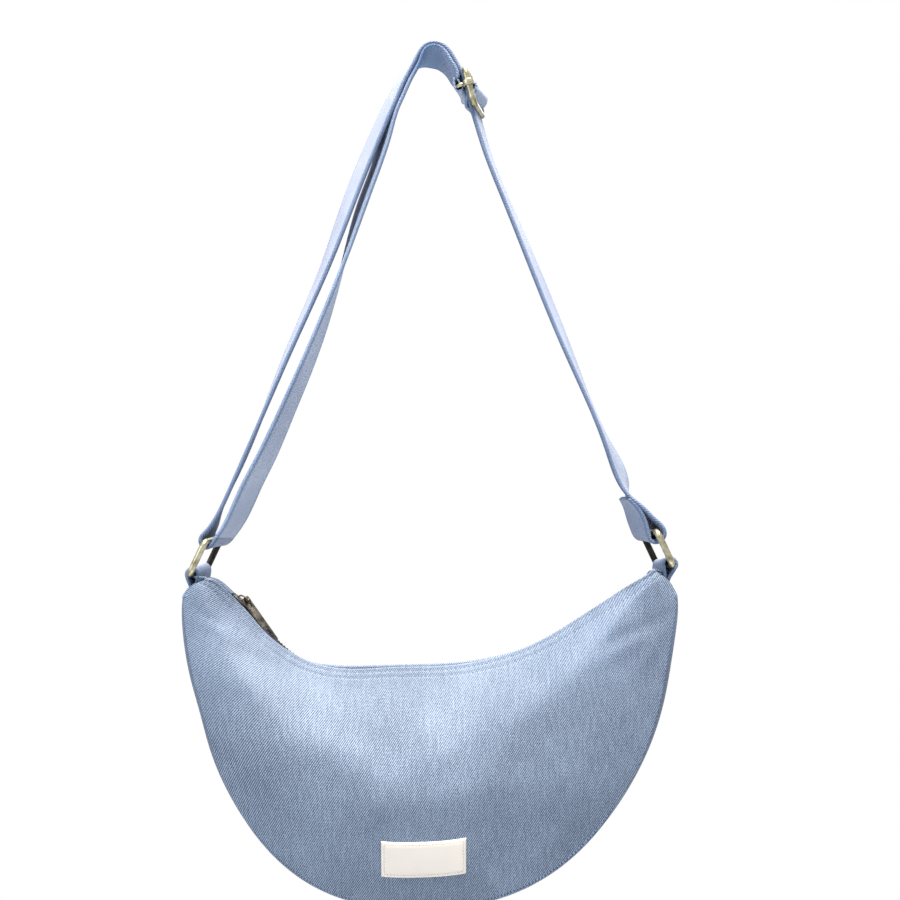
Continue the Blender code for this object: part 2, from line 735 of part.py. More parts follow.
def build_teeth(name, side, brass, carrier):
    """One row of teeth on its bead: a strip whose gap cells are left out, then thickened."""
    count = int(2 * ZIP_STOP * ZIP_RADIUS / ZIP_PITCH)
    shift = 0.0 if side == FRONT else 1.0
    cells = 2 * count + 1
    angle = np.linspace(-ZIP_STOP, ZIP_STOP, cells + 1)
    widths = np.array([SLOT_HALF_WIDTH, TOOTH_ROOT, CHAIN_HALF_WIDTH])
    x, z = arc_points(angle, ZIP_RADIUS)
    points = np.zeros((cells + 1, 3, 3))
    points[:, :, 0] = x[:, None]
    points[:, :, 1] = side * widths[None, :]
    points[:, :, 2] = z[:, None]
    net = grid(points)
    net.faces.ensure_lookup_table()
    gaps = [net.faces[2 * cell] for cell in range(cells) if (cell + shift) % 2]
    bmesh.ops.delete(net, geom=gaps, context="FACES")
    solid_sheet(name, net, CHAIN_THICKNESS, brass, carrier)


def build_stop(name, near, far, end, brass, carrier):
    """A metal stop past the last teeth, from near to far across Y."""
    middle = ZIP_STOP + (GAP + STOP_LENGTH / 2) / ZIP_RADIUS
    net = bmesh.new()
    bmesh.ops.create_cube(net, size=1.0)
    size = Vector((STOP_LENGTH, abs(far - near), CHAIN_THICKNESS))
    bmesh.ops.scale(net, verts=net.verts, vec=size)
    turn = Matrix.Rotation(-end * middle, 4, "Y")
    hold = Matrix.Translation((0.0, (near + far) / 2, ZIP_CENTRE_Z))
    net.transform(hold @ turn @ Matrix.Translation((0.0, 0.0, -ZIP_RADIUS)))
    mesh = bpy.data.meshes.new(name)
    net.to_mesh(mesh)
    net.free()
    stop = place(name, mesh, brass, carrier)
    edges = stop.modifiers.new("rounded edges", "BEVEL")
    edges.width = 0.0004
    edges.segments = 1
    return stop


def slider_matrix():
    """From the slider's own frame, with X along the zip and Z off the bag, to the world."""
    hold = Matrix.Translation((0.0, 0.0, ZIP_CENTRE_Z))
    turn = Matrix.Rotation(SLIDER_REST, 4, "Y")
    return hold @ turn @ Matrix.Translation((0.0, 0.0, -ZIP_RADIUS))


def crown_loop():
    """An arch in X and Z over the crossbar: outer half ellipse, then the inner one back."""
    half = CROWN_SPAN / 2
    rise = PULLER_RISE + PULLER_THICKNESS / math.sqrt(2) + GAP + CROWN_STRIP
    turns = np.linspace(0.0, math.pi, BEND_STEPS)
    sink = SLIDER_PLATE / 2
    outer = [(half * math.cos(turn), rise * math.sin(turn) ** 0.7) for turn in turns]
    inner = [
        ((half - CROWN_STRIP) * math.cos(turn), (rise - CROWN_STRIP) * math.sin(turn) ** 0.7)
        for turn in turns[::-1]
    ]
    return [(half, -sink)] + outer + [(-half, -sink), (-half + CROWN_STRIP, -sink)] + inner + [
        (half - CROWN_STRIP, -sink)
    ]


def build_slider(brass, carrier):
    """Two plates that hold the teeth between them, joined by a divider, with a crown on top."""
    frame = slider_matrix()
    top = rounded_corners(SLIDER_LENGTH / 2, SLIDER_WIDTH / 2, 0.0022, steps=4)
    mesh = outline_mesh("zip_slider", [top], SLIDER_PLATE / 2)
    lift = SLIDER_INNER + SLIDER_PLATE / 2
    mesh.transform(frame @ Matrix.Translation((0.0, 0.0, lift)))
    slider = place("zip_slider", mesh, brass, carrier)

    foot = rounded_corners(SLIDER_LENGTH / 2, SLIDER_FOOT_WIDTH / 2, 0.0022, steps=4)
    foot_mesh = outline_mesh("slider_foot", [foot], SLIDER_PLATE / 2)
    foot_piece = guide_object(
        "slider_foot", foot_mesh, frame @ Matrix.Translation((0.0, 0.0, -lift))
    )
    join_with(slider, foot_piece)

    divider = rounded_corners(DIVIDER_LENGTH / 2, DIVIDER_THICKNESS / 2, 0.0001, steps=2)
    divider_mesh = outline_mesh("slider_divider", [divider], lift)
    ahead = -(SLIDER_LENGTH - DIVIDER_LENGTH) / 2 + 0.001
    divider_piece = guide_object(
        "slider_divider", divider_mesh, frame @ Matrix.Translation((ahead, 0.0, 0.0))
    )
    join_with(slider, divider_piece)

    crown = outline_mesh("slider_crown", [crown_loop()], CROWN_WIDTH / 2)
    stand = Matrix.Rotation(math.pi / 2, 4, "X")
    up = Matrix.Translation((0.0, 0.0, SLIDER_INNER + SLIDER_PLATE))
    crown_piece = guide_object("slider_crown", crown, frame @ up @ stand)
    join_with(slider, crown_piece)


def shifted(loop, x):
    return [(a + x, b) for a, b in loop]


def build_puller(brass, carrier):
    """A flat puller: a crossbar under the crown, a window that clears it and a slot at the end."""
    half = PULLER_THICKNESS / 2
    body = rounded_corners((PULLER_LENGTH + half) / 2, PULLER_WIDTH / 2, PULLER_CORNER, steps=4)
    body = shifted(body, (PULLER_LENGTH - half) / 2)
    window_length = PULLER_WINDOW - half
    window = rounded_corners(window_length / 2, PULLER_WINDOW_WIDTH / 2, 0.0005, steps=3)
    window = shifted(window, half + window_length / 2)
    slot = rounded_corners(
        PULLER_SLOT_LENGTH / 2, PULLER_SLOT_WIDTH / 2, PULLER_CORNER, steps=4
    )
    slot = shifted(slot, PULLER_LENGTH - PULLER_SLOT_MARGIN - PULLER_SLOT_LENGTH / 2)
    mesh = outline_mesh("zip_puller", [body, window, slot], half)
    mesh.transform(slider_matrix() @ Matrix.Translation((0.0, 0.0, PULLER_AXIS)))
    place("zip_puller", mesh, brass, carrier)


def build_label(cloth, carrier):
    """A woven label that follows the front panel just outside it."""
    height = panel_height(np.array(0.0))
    low = 1.0 - LABEL_MARGIN / height
    high = low - LABEL_HEIGHT / height
    across = np.linspace(-LABEL_WIDTH / 2, LABEL_WIDTH / 2, 7) + LABEL_CENTRE
    rows = []
    dense = np.linspace(-0.4, 0.4, 161)
    for fall in np.linspace(high, low, 5):
        share = np.interp(across, front(dense, fall)[:, 0], dense)
        rows.append(front_inset(share, fall, -GAP - LABEL_THICKNESS / 2))
    sheet("label", np.array(rows), LABEL_THICKNESS, cloth, carrier)


clear_scene()
PARTS = collection("crescent_crossbody_bag")
CUTTERS = collection("cutters")


def main():
    denim = material("light_wash_denim", DENIM_BLUE, 0.9, 0.0)
    webbing = material("denim_webbing", DENIM_STRAP, 0.9, 0.0)
    navy = material("navy_zip_tape", TAPE_NAVY, 0.85, 0.0)
    brass = material("antique_brass", BRASS_COLOUR, 0.35, 1.0)
    dark_brass = material("dark_antique_brass", DARK_BRASS, 0.4, 1.0)
    lining = material("cotton_lining", LINING_COLOUR, 0.9, 0.0)
    cream = material("cream_label", LABEL_COLOUR, 0.8, 0.0)

    left_bar = upper_bar(-1)
    bag_bar = lower_bar(-1)
    right_bar = lower_bar(1)
    left_axis = axis_empty("left_ring_axis", *left_bar)
    bag_axis = axis_empty("bag_axis", *bag_bar)
    right_axis = axis_empty("right_ring_axis", *right_bar)
    zip_axis = axis_empty("zip_travel_axis", 0.0, ZIP_CENTRE_Z)
    pull = slider_matrix() @ Vector((0.0, 0.0, PULLER_AXIS))
    pull_axis = axis_empty("puller_axis", pull.x, pull.z)
    bar_axis = axis_empty("buckle_bar_axis", *BUCKLE_CENTRE)
    frame_axis = axis_empty("buckle_frame_axis", *(BUCKLE_CENTRE + FRAME_OFFSET * RIGHT_OUT))

    build_strap(webbing)
    build_sewn_end(webbing, bar_axis)
    build_buckle(brass, bar_axis, frame_axis)
    build_ring("left_ring", -1, brass, left_axis)
    build_ring("right_ring", 1, brass, right_axis)
    for side, word in ((-1, "left"), (1, "right")):
        build_tab(word + "_tab", side, webbing, bag_axis)
        build_end_patch(word + "_end_patch", side, denim, bag_axis)
    for side, word in ((FRONT, "front"), (BACK, "back")):
        build_panel(word + "_panel", side, denim, bag_axis)
        build_lining("lining_" + word, side, lining, bag_axis)
        build_tape("zip_tape_" + word, side, navy, bag_axis)
        build_teeth("zip_teeth_" + word, side, dark_brass, bag_axis)
        near = side * SLOT_HALF_WIDTH
        build_stop(
            "zip_top_stop_" + word, near, side * CHAIN_HALF_WIDTH, -1, dark_brass, bag_axis
        )
    build_stop(
        "zip_bottom_stop", -CHAIN_HALF_WIDTH, CHAIN_HALF_WIDTH, 1, dark_brass, bag_axis
    )
    build_gusset(denim, bag_axis)
    build_gusset_lining(lining, bag_axis)
    build_slider(dark_brass, zip_axis)
    build_puller(dark_brass, pull_axis)
    build_label(cream, bag_axis)

    rows = (
        ("left ring, upper bar", left_bar),
        ("left ring, lower bar", bag_bar),
        ("right ring, lower bar", right_bar),
        ("right ring, upper bar", upper_bar(1)),
        ("puller axis", (pull.x, pull.z)),
        ("strap direction at the buckle", RIGHT_DOWN),
        ("buckle centre", BUCKLE_CENTRE),
        ("arch centre", ARCH_CENTRE),
    )
    for words, spot in rows:
        print(f"{words}: x {spot[0]:.6f} z {spot[1]:.6f}")


main()
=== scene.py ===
"""Looks of a crescent crossbody bag in light denim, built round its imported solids.

Everything is in metres in the part's own frame: +X to the viewer's right, +Y away from the viewer
and +Z up, with the origin under the top of the hanging strap.
"""

import json
import math

import bmesh
import bpy
import numpy as np
from bpy.props import FloatProperty, FloatVectorProperty, PointerProperty
from bpy.types import Operator, Panel, PropertyGroup
from mathutils import Matrix, Vector


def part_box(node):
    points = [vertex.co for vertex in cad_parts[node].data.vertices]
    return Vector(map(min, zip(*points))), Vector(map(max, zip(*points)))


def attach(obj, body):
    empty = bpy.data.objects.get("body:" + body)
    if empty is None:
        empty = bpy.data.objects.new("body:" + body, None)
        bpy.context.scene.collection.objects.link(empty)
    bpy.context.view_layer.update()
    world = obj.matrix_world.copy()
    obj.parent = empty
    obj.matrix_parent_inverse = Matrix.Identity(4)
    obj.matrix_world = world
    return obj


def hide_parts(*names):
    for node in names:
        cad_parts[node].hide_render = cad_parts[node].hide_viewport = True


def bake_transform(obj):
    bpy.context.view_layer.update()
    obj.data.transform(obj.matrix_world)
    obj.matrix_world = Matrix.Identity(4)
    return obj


bl_info = {
    "name": "Crescent Denim Bag",
    "version": (1, 0, 0),
    "blender": (4, 5, 0),
    "location": "3D View > Sidebar > Denim Bag",
    "description": "Dresses the packed solids of a crescent crossbody bag in denim, brass and a zip",
    "category": "Add Mesh",
}

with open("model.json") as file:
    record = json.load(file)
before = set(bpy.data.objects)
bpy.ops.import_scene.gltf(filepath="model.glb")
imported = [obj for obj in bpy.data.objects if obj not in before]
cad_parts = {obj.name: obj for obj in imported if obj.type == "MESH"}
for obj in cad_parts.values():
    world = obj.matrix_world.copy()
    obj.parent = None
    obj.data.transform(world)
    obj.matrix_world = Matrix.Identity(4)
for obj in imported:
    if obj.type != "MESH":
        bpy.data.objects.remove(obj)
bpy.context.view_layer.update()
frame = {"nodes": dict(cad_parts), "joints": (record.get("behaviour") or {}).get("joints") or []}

MM = 0.001
TAU = 2.0 * math.pi


def joint(name):
    """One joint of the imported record."""
    return next(row for row in frame["joints"] if row["name"] == name)


def flat_place(name):
    """A joint's place as an array of x and z."""
    x, _, z = joint(name)["pos_m"]
    return np.array([x, z])


LEFT_SAG = np.array([2.8, -3.2]) * MM      # the left ring hangs a little lower than its joints
RIGHT_LIFT = np.array([-0.6, 1.4]) * MM    # and the right ring a little higher
LEFT_UPPER_BAR = flat_place("left_ring_swing") + LEFT_SAG
LEFT_LOWER_BAR = flat_place("bag_swing") + LEFT_SAG
RIGHT_LOWER_BAR = flat_place("right_ring_swing") + RIGHT_LIFT
RIGHT_UPPER_BAR = flat_place("left_ring_swing") * np.array([-1.0, 1.0]) + RIGHT_LIFT
ZIP_CENTRE = flat_place("zip_travel")
PULLER_AXIS = flat_place("puller_lift")
RUN_DOWN = np.array(joint("buckle_slide")["axis"])[[0, 2]]


def linear(code):
    """A linear colour from an sRGB hex code."""
    parts = [int(code[at : at + 2], 16) / 255 for at in (1, 3, 5)]
    return tuple(c / 12.92 if c <= 0.04045 else ((c + 0.055) / 1.055) ** 2.4 for c in parts)


def length(name, description, default):
    """A length property, given in millimetres and kept in metres."""
    return FloatProperty(
        name=name, description=description, default=default * MM, unit="LENGTH", precision=5
    )


def colour(name, description, code):
    """A colour property, whose default is an sRGB hex code."""
    return FloatVectorProperty(
        name=name, description=description, default=linear(code), subtype="COLOR", size=3, min=0, max=1
    )


class BagBodySizes(PropertyGroup):
    """Sizes of the sewn body."""

    cloth: length("Cloth", "Thickness of one layer of denim", 1.1)
    fold_roll: length("Fold roll", "Radius of the rolled edge beside the zip", 1.5)
    seam_roll: length("Seam roll", "Radius at which a panel turns into its seam", 1.3)
    hem: length("Hem", "Cloth turned in beside the zip", 7.0)
    fold_gap: length("Fold gap", "From the middle of the zip to a fold's outer face", 7.4)
    side_gap: length("Side gap", "The same gap where the zip climbs to the tips", 9.4)
    tip_depth: length("Tip depth", "Half the bag's depth at its tips", 21.8)
    seam_depth: length("Seam depth", "Half the gusset's width at the bottom", 35.0)
    swell: length("Swell", "How far the stuffed panel stands past its edges", 25.0)
    crown: length("Gusset crown", "How far the gusset bulges between its seams", 4.0)
    side_crown: length("Side crown", "How much further it bulges up the sides", 2.4)
    outline_half_width: length("Outline half width", "Of the outer seam", 170.3)
    outline_depth: length("Outline depth", "From the outline's centre to the bottom seam", 285.5)
    outline_drift: length("Outline drift", "How far the bottom has slumped to the left", 7.6)
    first_row: length("First stitch row", "Below the fold", 2.6)
    second_row: length("Second stitch row", "Below the fold", 6.4)
    stitch_pitch: length("Stitch pitch", "From one stitch to the next", 3.0)
    stitch_gauge: length("Thread", "Thickness of the thread", 0.55)


class StrapSizes(PropertyGroup):
    """Sizes of the strap and its tabs."""

    width: length("Width", "Of the folded strap", 40.0)
    thickness: length("Thickness", "Of the folded strap", 2.9)
    stitch_margin: length("Stitch margin", "From the strap's edge to its stitching", 3.2)
    tab_thickness: length("Tab thickness", "Of the folded tab", 2.3)
    tab_length: length("Tab length", "From the bag's end to the ring's lower bar", 11.6)
    tab_inset: length("Tab inset", "Sewn into the bag's end", 8.0)


class HardwareSizes(PropertyGroup):
    """Sizes of the metal pieces and the zip."""

    ring_wire: length("Ring wire", "Thickness of the rings' wire", 4.5)
    ring_corner: length("Ring corner", "Bend radius of the rings", 4.6)
    ring_half_width: length("Ring half width", "From the middle to a side rod", 23.25)
    buckle_wire: length("Buckle wire", "Thickness of the buckle's wire", 4.5)
    buckle_length: length("Buckle length", "Between the axes of its end bars", 24.8)
    bar_wire: length("Centre bar", "Thickness of the buckle's centre bar", 2.4)
    bar_rise: length("Bar rise", "Of the centre bar above the middle of the frame", 2.0)
    chain_half_width: length("Chain half width", "Of the closed zip", 2.9)
    tooth_pitch: length("Tooth pitch", "From one tooth to the next in a row", 2.6)
    tooth_height: length("Tooth height", "Thickness of the chain", 2.4)
    label_width: length("Label width", "Of the woven label", 56.0)
    label_height: length("Label height", "Of the woven label", 24.6)
    label_centre: length("Label centre", "Across the bag", -3.5)
    label_margin: length("Label margin", "From its lower edge to the outer seam", 22.4)


class Finishes(PropertyGroup):
    """Colours of the cloth, thread and metal."""

    denim_pale: colour("Pale denim", "White weft threads and worn warp", "#8AA2BF")
    denim_deep: colour("Deep denim", "Indigo warp threads after washing", "#3A4C68")
    strap_pale: colour("Pale strap", "The same threads in the strap and tabs, worn paler", "#A1B2CE")
    strap_deep: colour("Deep strap", "Its indigo warp threads", "#586C8C")
    # Painted light: a paler copy of the strap's colours for the inner ply, its sewn end and the weave
    lit_strap_pale: colour("Pale strap, painted lit", "The inner ply, its sewn end and the weave", "#C6D4EA")
    lit_strap_deep: colour("Deep strap, painted lit", "Its indigo warp threads", "#7188AB")
    thread: colour("Thread", "Tone-on-tone topstitching", "#6C83A1")
    tape: colour("Zip tape", "Navy woven polyester", "#1B2440")
    brass_pale: colour("Pale brass", "Rubbed antique brass", "#C9C7AE")
    brass_deep: colour("Deep brass", "Antique patina", "#87846A")
    dark_pale: colour("Pale gunmetal brass", "Rubbed dark plating", "#857E72")
    dark_deep: colour("Deep gunmetal brass", "Dark plating", "#45413B")
    teeth_pale: colour("Pale teeth", "Rubbed blackened metal", "#4A4A52")
    teeth_deep: colour("Deep teeth", "Blackened metal", "#15161C")
    lining: colour("Lining", "Plain cotton", "#CFCBC0")
    label: colour("Label", "Cream woven satin", "#E0E0DC")
    label_edge: colour("Label edge", "Border thread of the label", "#C9C6BC")
    floor: colour("Floor", "Pale studio floor", "#DCDCDC")


def body_sizes():
    """The sewn body's sizes as the scene keeps them."""
    return bpy.context.scene.bag_body


def strap_sizes():
    """The strap's sizes as the scene keeps them."""
    return bpy.context.scene.bag_strap


def hardware_sizes():
    """The metal's and zip's sizes as the scene keeps them."""
    return bpy.context.scene.bag_hardware


def finishes():
    """The colours as the scene keeps them."""
    return bpy.context.scene.bag_finishes


# The photographed shape, as knots in millimetres: x and the height of each line along the zip
FRONT_FOLD = (
    (-151.5, -356.4), (-146.8, -356.8), (-139.5, -363.4), (-134.0, -369.6), (-122.5, -382.2),
    (-112.8, -393.6), (-102.3, -402.4), (-90.0, -410.2), (-72.0, -417.0), (-26.0, -418.2), (18.0, -416.4),
    (45.0, -411.2), (67.3, -403.5), (108.9, -378.9), (126.6, -367.2), (142.1, -356.6),
    (151.5, -350.2),
)
BACK_FOLD = (
    (-151.5, -362.0), (-141.2, -368.0), (-130.2, -377.5), (-108.2, -401.4), (-90.0, -414.0),
    (-72.0, -418.0), (-26.0, -418.4), (18.0, -416.6), (45.0, -412.4), (67.3, -406.0),
    (111.2, -384.5), (133.1, -370.5), (151.5, -358.5),
)
ZIP_LINE = (
    (-151.5, -354.7), (-140.0, -366.7), (-127.0, -380.2), (-117.0, -390.4), (-108.0, -399.6),
    (-90.0, -414.4), (-72.0, -420.2), (-26.0, -422.0), (18.0, -420.4), (45.0, -416.4),
    (67.0, -411.2), (89.0, -402.6), (111.0, -390.0), (133.0, -373.3), (151.5, -354.7),
)
# Share across the bag, and the share of the panel's height where it is fullest
FULLEST = (
    (-1.0, 0.32), (-0.8, 0.36), (-0.62, 0.37), (-0.46, 0.355), (-0.28, 0.37), (-0.13, 0.405), (0.0, 0.385),
    (0.12, 0.32), (0.28, 0.26), (0.45, 0.225), (0.62, 0.21), (0.8, 0.165), (1.0, 0.15),
)

TIP_BULGE = 2.4 * MM                # of the short edge between a fold's end and the outer seam
RIDGE_WIDTH = 0.17                  # how softly a panel turns over where it is fullest
RIDGE_LIFT = 0.35                   # how much the rise overshoots before that turn
FALL_POWER = 1.7                    # of the curve from there down to the seam
ZIP_SPAN = math.radians(48.7)       # half the zip's angle between the folds' ends
OUTLINE_SPAN = math.radians(64.5)   # half the outer seam's angle
OUTLINE_POWER = 2.447               # 2 is an ellipse, and more is squarer
OUTLINE_CENTRE = -288.7 * MM
OUTLINE_SHIFT = 0.8 * MM            # of the whole outer seam to the right


def spline_bends(at, values):
    """Second derivatives of the natural cubic spline through values, one tridiagonal system."""
    steps = np.diff(at)
    count = len(at)
    system = np.eye(count)
    inner = np.arange(1, count - 1)
    system[inner, inner - 1] = steps[:-1]
    system[inner, inner] = 2.0 * (steps[:-1] + steps[1:])
    system[inner, inner + 1] = steps[1:]
    slopes = np.diff(values, axis=0) / steps[:, None]
    known = np.zeros_like(values)
    known[1:-1] = 6.0 * np.diff(slopes, axis=0)
    return np.linalg.solve(system, known)


def spline(at, values, where):
    """Natural cubic spline: each span mixes its ends with cubes of the distance to them."""
    at = np.asarray(at, float)
    values = np.asarray(values, float).reshape(len(at), -1)
    bends = spline_bends(at, values)
    where = np.asarray(where, float)
    flat = np.clip(where.ravel(), at[0], at[-1])
    span = np.clip(np.searchsorted(at, flat, side="right") - 1, 0, len(at) - 2)
    step = (at[span + 1] - at[span])[:, None]
    ahead = (at[span + 1] - flat)[:, None] / step
    behind = 1.0 - ahead
    cubic = (ahead**3 - ahead) * bends[span] + (behind**3 - behind) * bends[span + 1]
    result = ahead * values[span] + behind * values[span + 1] + cubic * step**2 / 6.0
    return result.reshape(where.shape + (values.shape[1],))


def height_at(knots, x):
    """Height of one of the lines along the zip, in metres, at x in metres."""
    knots = np.asarray(knots) * MM
    return spline(knots[:, 0], knots[:, 1], x)[..., 0]


def distances(path):
    """Distance along a path from its first point to each of its points."""
    return np.concatenate(([0.0], np.cumsum(np.linalg.norm(np.diff(path, axis=0), axis=1))))


def smooth_path(knots, count):
    """A spline through rows of knots, sampled evenly by the distance between them in x and z."""
    knots = np.asarray(knots, float)
    at = distances(knots[:, :2])
    return spline(at, knots, np.linspace(0.0, at[-1], count))


def unit(vectors):
    """Vectors divided by their lengths."""
    return vectors / np.maximum(np.linalg.norm(vectors, axis=-1, keepdims=True), 1e-12)


def squared_circle(turn, power):
    """Points of a circle squared off: each coordinate's sign times a power of its size."""
    circle = np.stack((np.cos(turn), np.sin(turn)))
    return np.sign(circle) * np.abs(circle) ** power


def outward_of(net):
    """Unit normals of a grid: the cross product of its directions down the columns and along the rows."""
    return unit(np.cross(np.gradient(net, axis=0), np.gradient(net, axis=1)))


def smoothstep(value):
    """A soft step: three times the square less twice the cube of a value held between 0 and 1."""
    share = np.clip(value, 0.0, 1.0)
    return share * share * (3.0 - 2.0 * share)


def grid_faces(rows, columns, wrap_rows=False, wrap_columns=False, flip=False):
    """Quads of a grid of points, and the grid's own index of each corner for its cloth map."""
    index = np.arange(rows * columns).reshape(rows, columns)
    spot = np.arange((rows + wrap_rows) * (columns + wrap_columns))
    spot = spot.reshape(rows + wrap_rows, columns + wrap_columns)
    if wrap_rows:
        index = np.vstack((index, index[:1]))
    if wrap_columns:
        index = np.hstack((index, index[:, :1]))
    quads = []
    for table in (index, spot):
        corners = (table[:-1, :-1], table[:-1, 1:], table[1:, 1:], table[1:, :-1])
        quad = np.stack(corners, axis=-1).reshape(-1, 4)
        quads.append(quad[:, ::-1] if flip else quad)
    return quads


def new_object(name, mesh, material):
    """An object in the scene that shows a mesh in one material."""
    thing = bpy.data.objects.new(name, mesh)
    bpy.context.scene.collection.objects.link(thing)
    mesh.materials.append(material)
    return thing


def grid_object(name, points, cloth, material, flip=False, wrap=(False, False), caps=False):
    """A mesh on a grid of points, with cloth, its map in metres, one row or column longer where it wraps."""
    rows, columns = points.shape[:2]
    quads, spots = grid_faces(rows, columns, *wrap, flip)
    faces = quads.tolist()
    corner_spots = spots.ravel()
    if caps:
        first = np.arange(columns)
        faces += [first[::-1].tolist(), (first + (rows - 1) * columns).tolist()]
        last_spots = first + (rows - 1) * (columns + wrap[1])
        corner_spots = np.concatenate((corner_spots, first[::-1], last_spots))
    mesh = bpy.data.meshes.new(name)
    mesh.from_pydata(points.reshape(-1, 3), [], faces)
    layer = mesh.uv_layers.new(name="cloth")
    layer.data.foreach_set("uv", cloth.reshape(-1, 2)[corner_spots].ravel())
    mesh.shade_smooth()
    return new_object(name, mesh, material)


def close_normals(thing):
    """Points the faces of a closed mesh outwards."""
    net = bmesh.new()
    net.from_mesh(thing.data)
    bmesh.ops.recalc_face_normals(net, faces=net.faces)
    net.to_mesh(thing.data)
    net.free()
    return thing


def prisms(name, points, material):
    """Many like pieces as one object: each is a row of rings, joined by walls and closed at its ends."""
    count, rings, sides = points.shape[:3]
    size = rings * sides
    starts = np.arange(count) * size
    wall, _ = grid_faces(rings, sides, wrap_columns=True)
    walls = (wall[None] + starts[:, None, None]).reshape(-1, 4)
    ends = np.array((np.arange(sides)[::-1], np.arange(size - sides, size)))
    caps = (ends[None] + starts[:, None, None]).reshape(-1, sides)
    mesh = bpy.data.meshes.new(name)
    mesh.from_pydata(points.reshape(-1, 3), [], walls.tolist() + caps.tolist())
    mesh.shade_smooth()
    return close_normals(new_object(name, mesh, material))


def set_shade(thing, share):
    """Keeps how much painted shade the denim gets at each point, and painted light where that is negative: 0
    in its open faces, and 1 on a folded edge.
    """
    layer = thing.data.attributes.new("edge", "FLOAT", "POINT")
    layer.data.foreach_set("value", share.ravel())


def give_wall(thing, thickness):
    """Adds the cloth's thickness behind its outer face."""
    wall = thing.modifiers.new("wall", "SOLIDIFY")
    wall.thickness = thickness
    wall.offset = -1.0
    wall.use_even_offset = False


def settle(thing, body, slot, *nodes):
    """Hangs the piece on the empty of the body that it rides on, and hides the solids that it stands for."""
    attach(thing, body)
    if nodes:
        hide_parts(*nodes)


def draw_out(thing, slot, *nodes):
    """Bakes the piece's place into its points, and hides the solids that it stands for."""
    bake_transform(thing)
    if nodes:
        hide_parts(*nodes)


def rolled_edge(net, radius, sweep, steps, side):
    """Rows added past the last one, on a circle that turns towards the cloth's inner face."""
    edge = net[-1]
    onward = unit(edge - net[-2])
    sideways = unit(np.gradient(edge, axis=0))
    outward = side * unit(np.cross(onward, sideways))
    turns = np.linspace(0.0, sweep, steps + 1)[1:, None, None]
    ring = edge + radius * ((np.cos(turns) - 1.0) * outward + np.sin(turns) * onward)
    return np.concatenate((net, ring))


def rolled_sides(net, radius, sweep, side):
    """Both ends of a net's rows rolled in, each by five columns."""
    turned = np.swapaxes(net, 0, 1)
    turned = rolled_edge(turned, radius, sweep, 5, side)
    turned = rolled_edge(turned[::-1], radius, sweep, 5, -side)[::-1]
    return np.swapaxes(turned, 0, 1)


def extended(net, reach, rows):
    """Rows added straight on past the last one."""
    onward = unit(net[-1] - net[-2])
    steps = np.linspace(0.0, reach, rows + 1)[1:, None, None]
    return np.concatenate((net, net[-1] + steps * onward))


def arched_band(path, outward, half_width, arch, across):
    """A band across the bag's depth along a path of x and z, which stands out from it by arch."""
    net = np.zeros((len(path), len(across), 3))
    net[..., [0, 2]] = path[:, None] + outward[:, None] * arch[..., None]
    net[..., 1] = half_width[:, None] * across
    return net


# The bag's surface is set out between the fold beside the zip and the outer seam.
# share runs from -1 at the left tip to 1 at the right one, and fall from 0 at the fold to 1.
SIDES_FROM, SIDES_OVER = 0.35, 0.25     # share where the gap between the folds widens, and over what
TIPS_FROM, TIPS_OVER = 0.82, 0.18       # and where it opens to the tips
DRIFT_POWER = 7                         # how much of the slump is kept to the bottom
SWELL_POWER = 0.8                       # of the swell's fading to the tips
CREASE_FADE = 0.08                      # share of a panel's height where creases fade to its edges
BULGE_FROM, BULGE_OVER = 0.86, 0.14     # share where the tips bulge, and over what
BULGE_OUT, BULGE_UP = 0.69, 0.72        # direction of that bulge in x and z


def fold_x(share):
    """Across the bag, the fold follows the sine of its angle round the zip's centre."""
    reach = FRONT_FOLD[-1][0] * MM
    return reach * np.sin(ZIP_SPAN * share) / math.sin(ZIP_SPAN)


# Where the outer seam draws in: side, height, reach up and down, and depth, in metres
OUTLINE_HOLLOWS = ((1, -0.405, 0.036, 2.3 * MM), (-1, -0.448, 0.024, 1.6 * MM))


def outline(share):
    """The outer seam: a superellipse in polar form, whose bottom has slumped to the left."""
    sizes = body_sizes()
    angle = OUTLINE_SPAN * share
    across = np.abs(np.sin(angle) / sizes.outline_half_width) ** OUTLINE_POWER
    down = np.abs(np.cos(angle) / sizes.outline_depth) ** OUTLINE_POWER
    radius = (across + down) ** (-1.0 / OUTLINE_POWER)
    drift = sizes.outline_drift * np.cos(angle) ** DRIFT_POWER - OUTLINE_SHIFT
    x, z = radius * np.sin(angle) - drift, OUTLINE_CENTRE - radius * np.cos(angle)
    for side, height, reach, depth in OUTLINE_HOLLOWS:
        x = x - side * depth * np.exp(-(((z - height) / reach) ** 2)) * (x * side > 0)
    return x, z


def fold_depth(share):
    """Half the gap between the folds: even over the zip, then wider up to the tips."""
    sizes = body_sizes()
    sides = smoothstep((np.abs(share) - SIDES_FROM) / SIDES_OVER)
    tips = smoothstep((np.abs(share) - TIPS_FROM) / TIPS_OVER)
    even = sizes.fold_gap + (sizes.side_gap - sizes.fold_gap) * sides
    return even + (sizes.tip_depth - even) * tips


def seam_depth(share):
    """Half the gusset's width: widest at the bottom, and less to the tips by the square of the share."""
    sizes = body_sizes()
    return sizes.tip_depth + (sizes.seam_depth - sizes.tip_depth) * (1.0 - share**2)


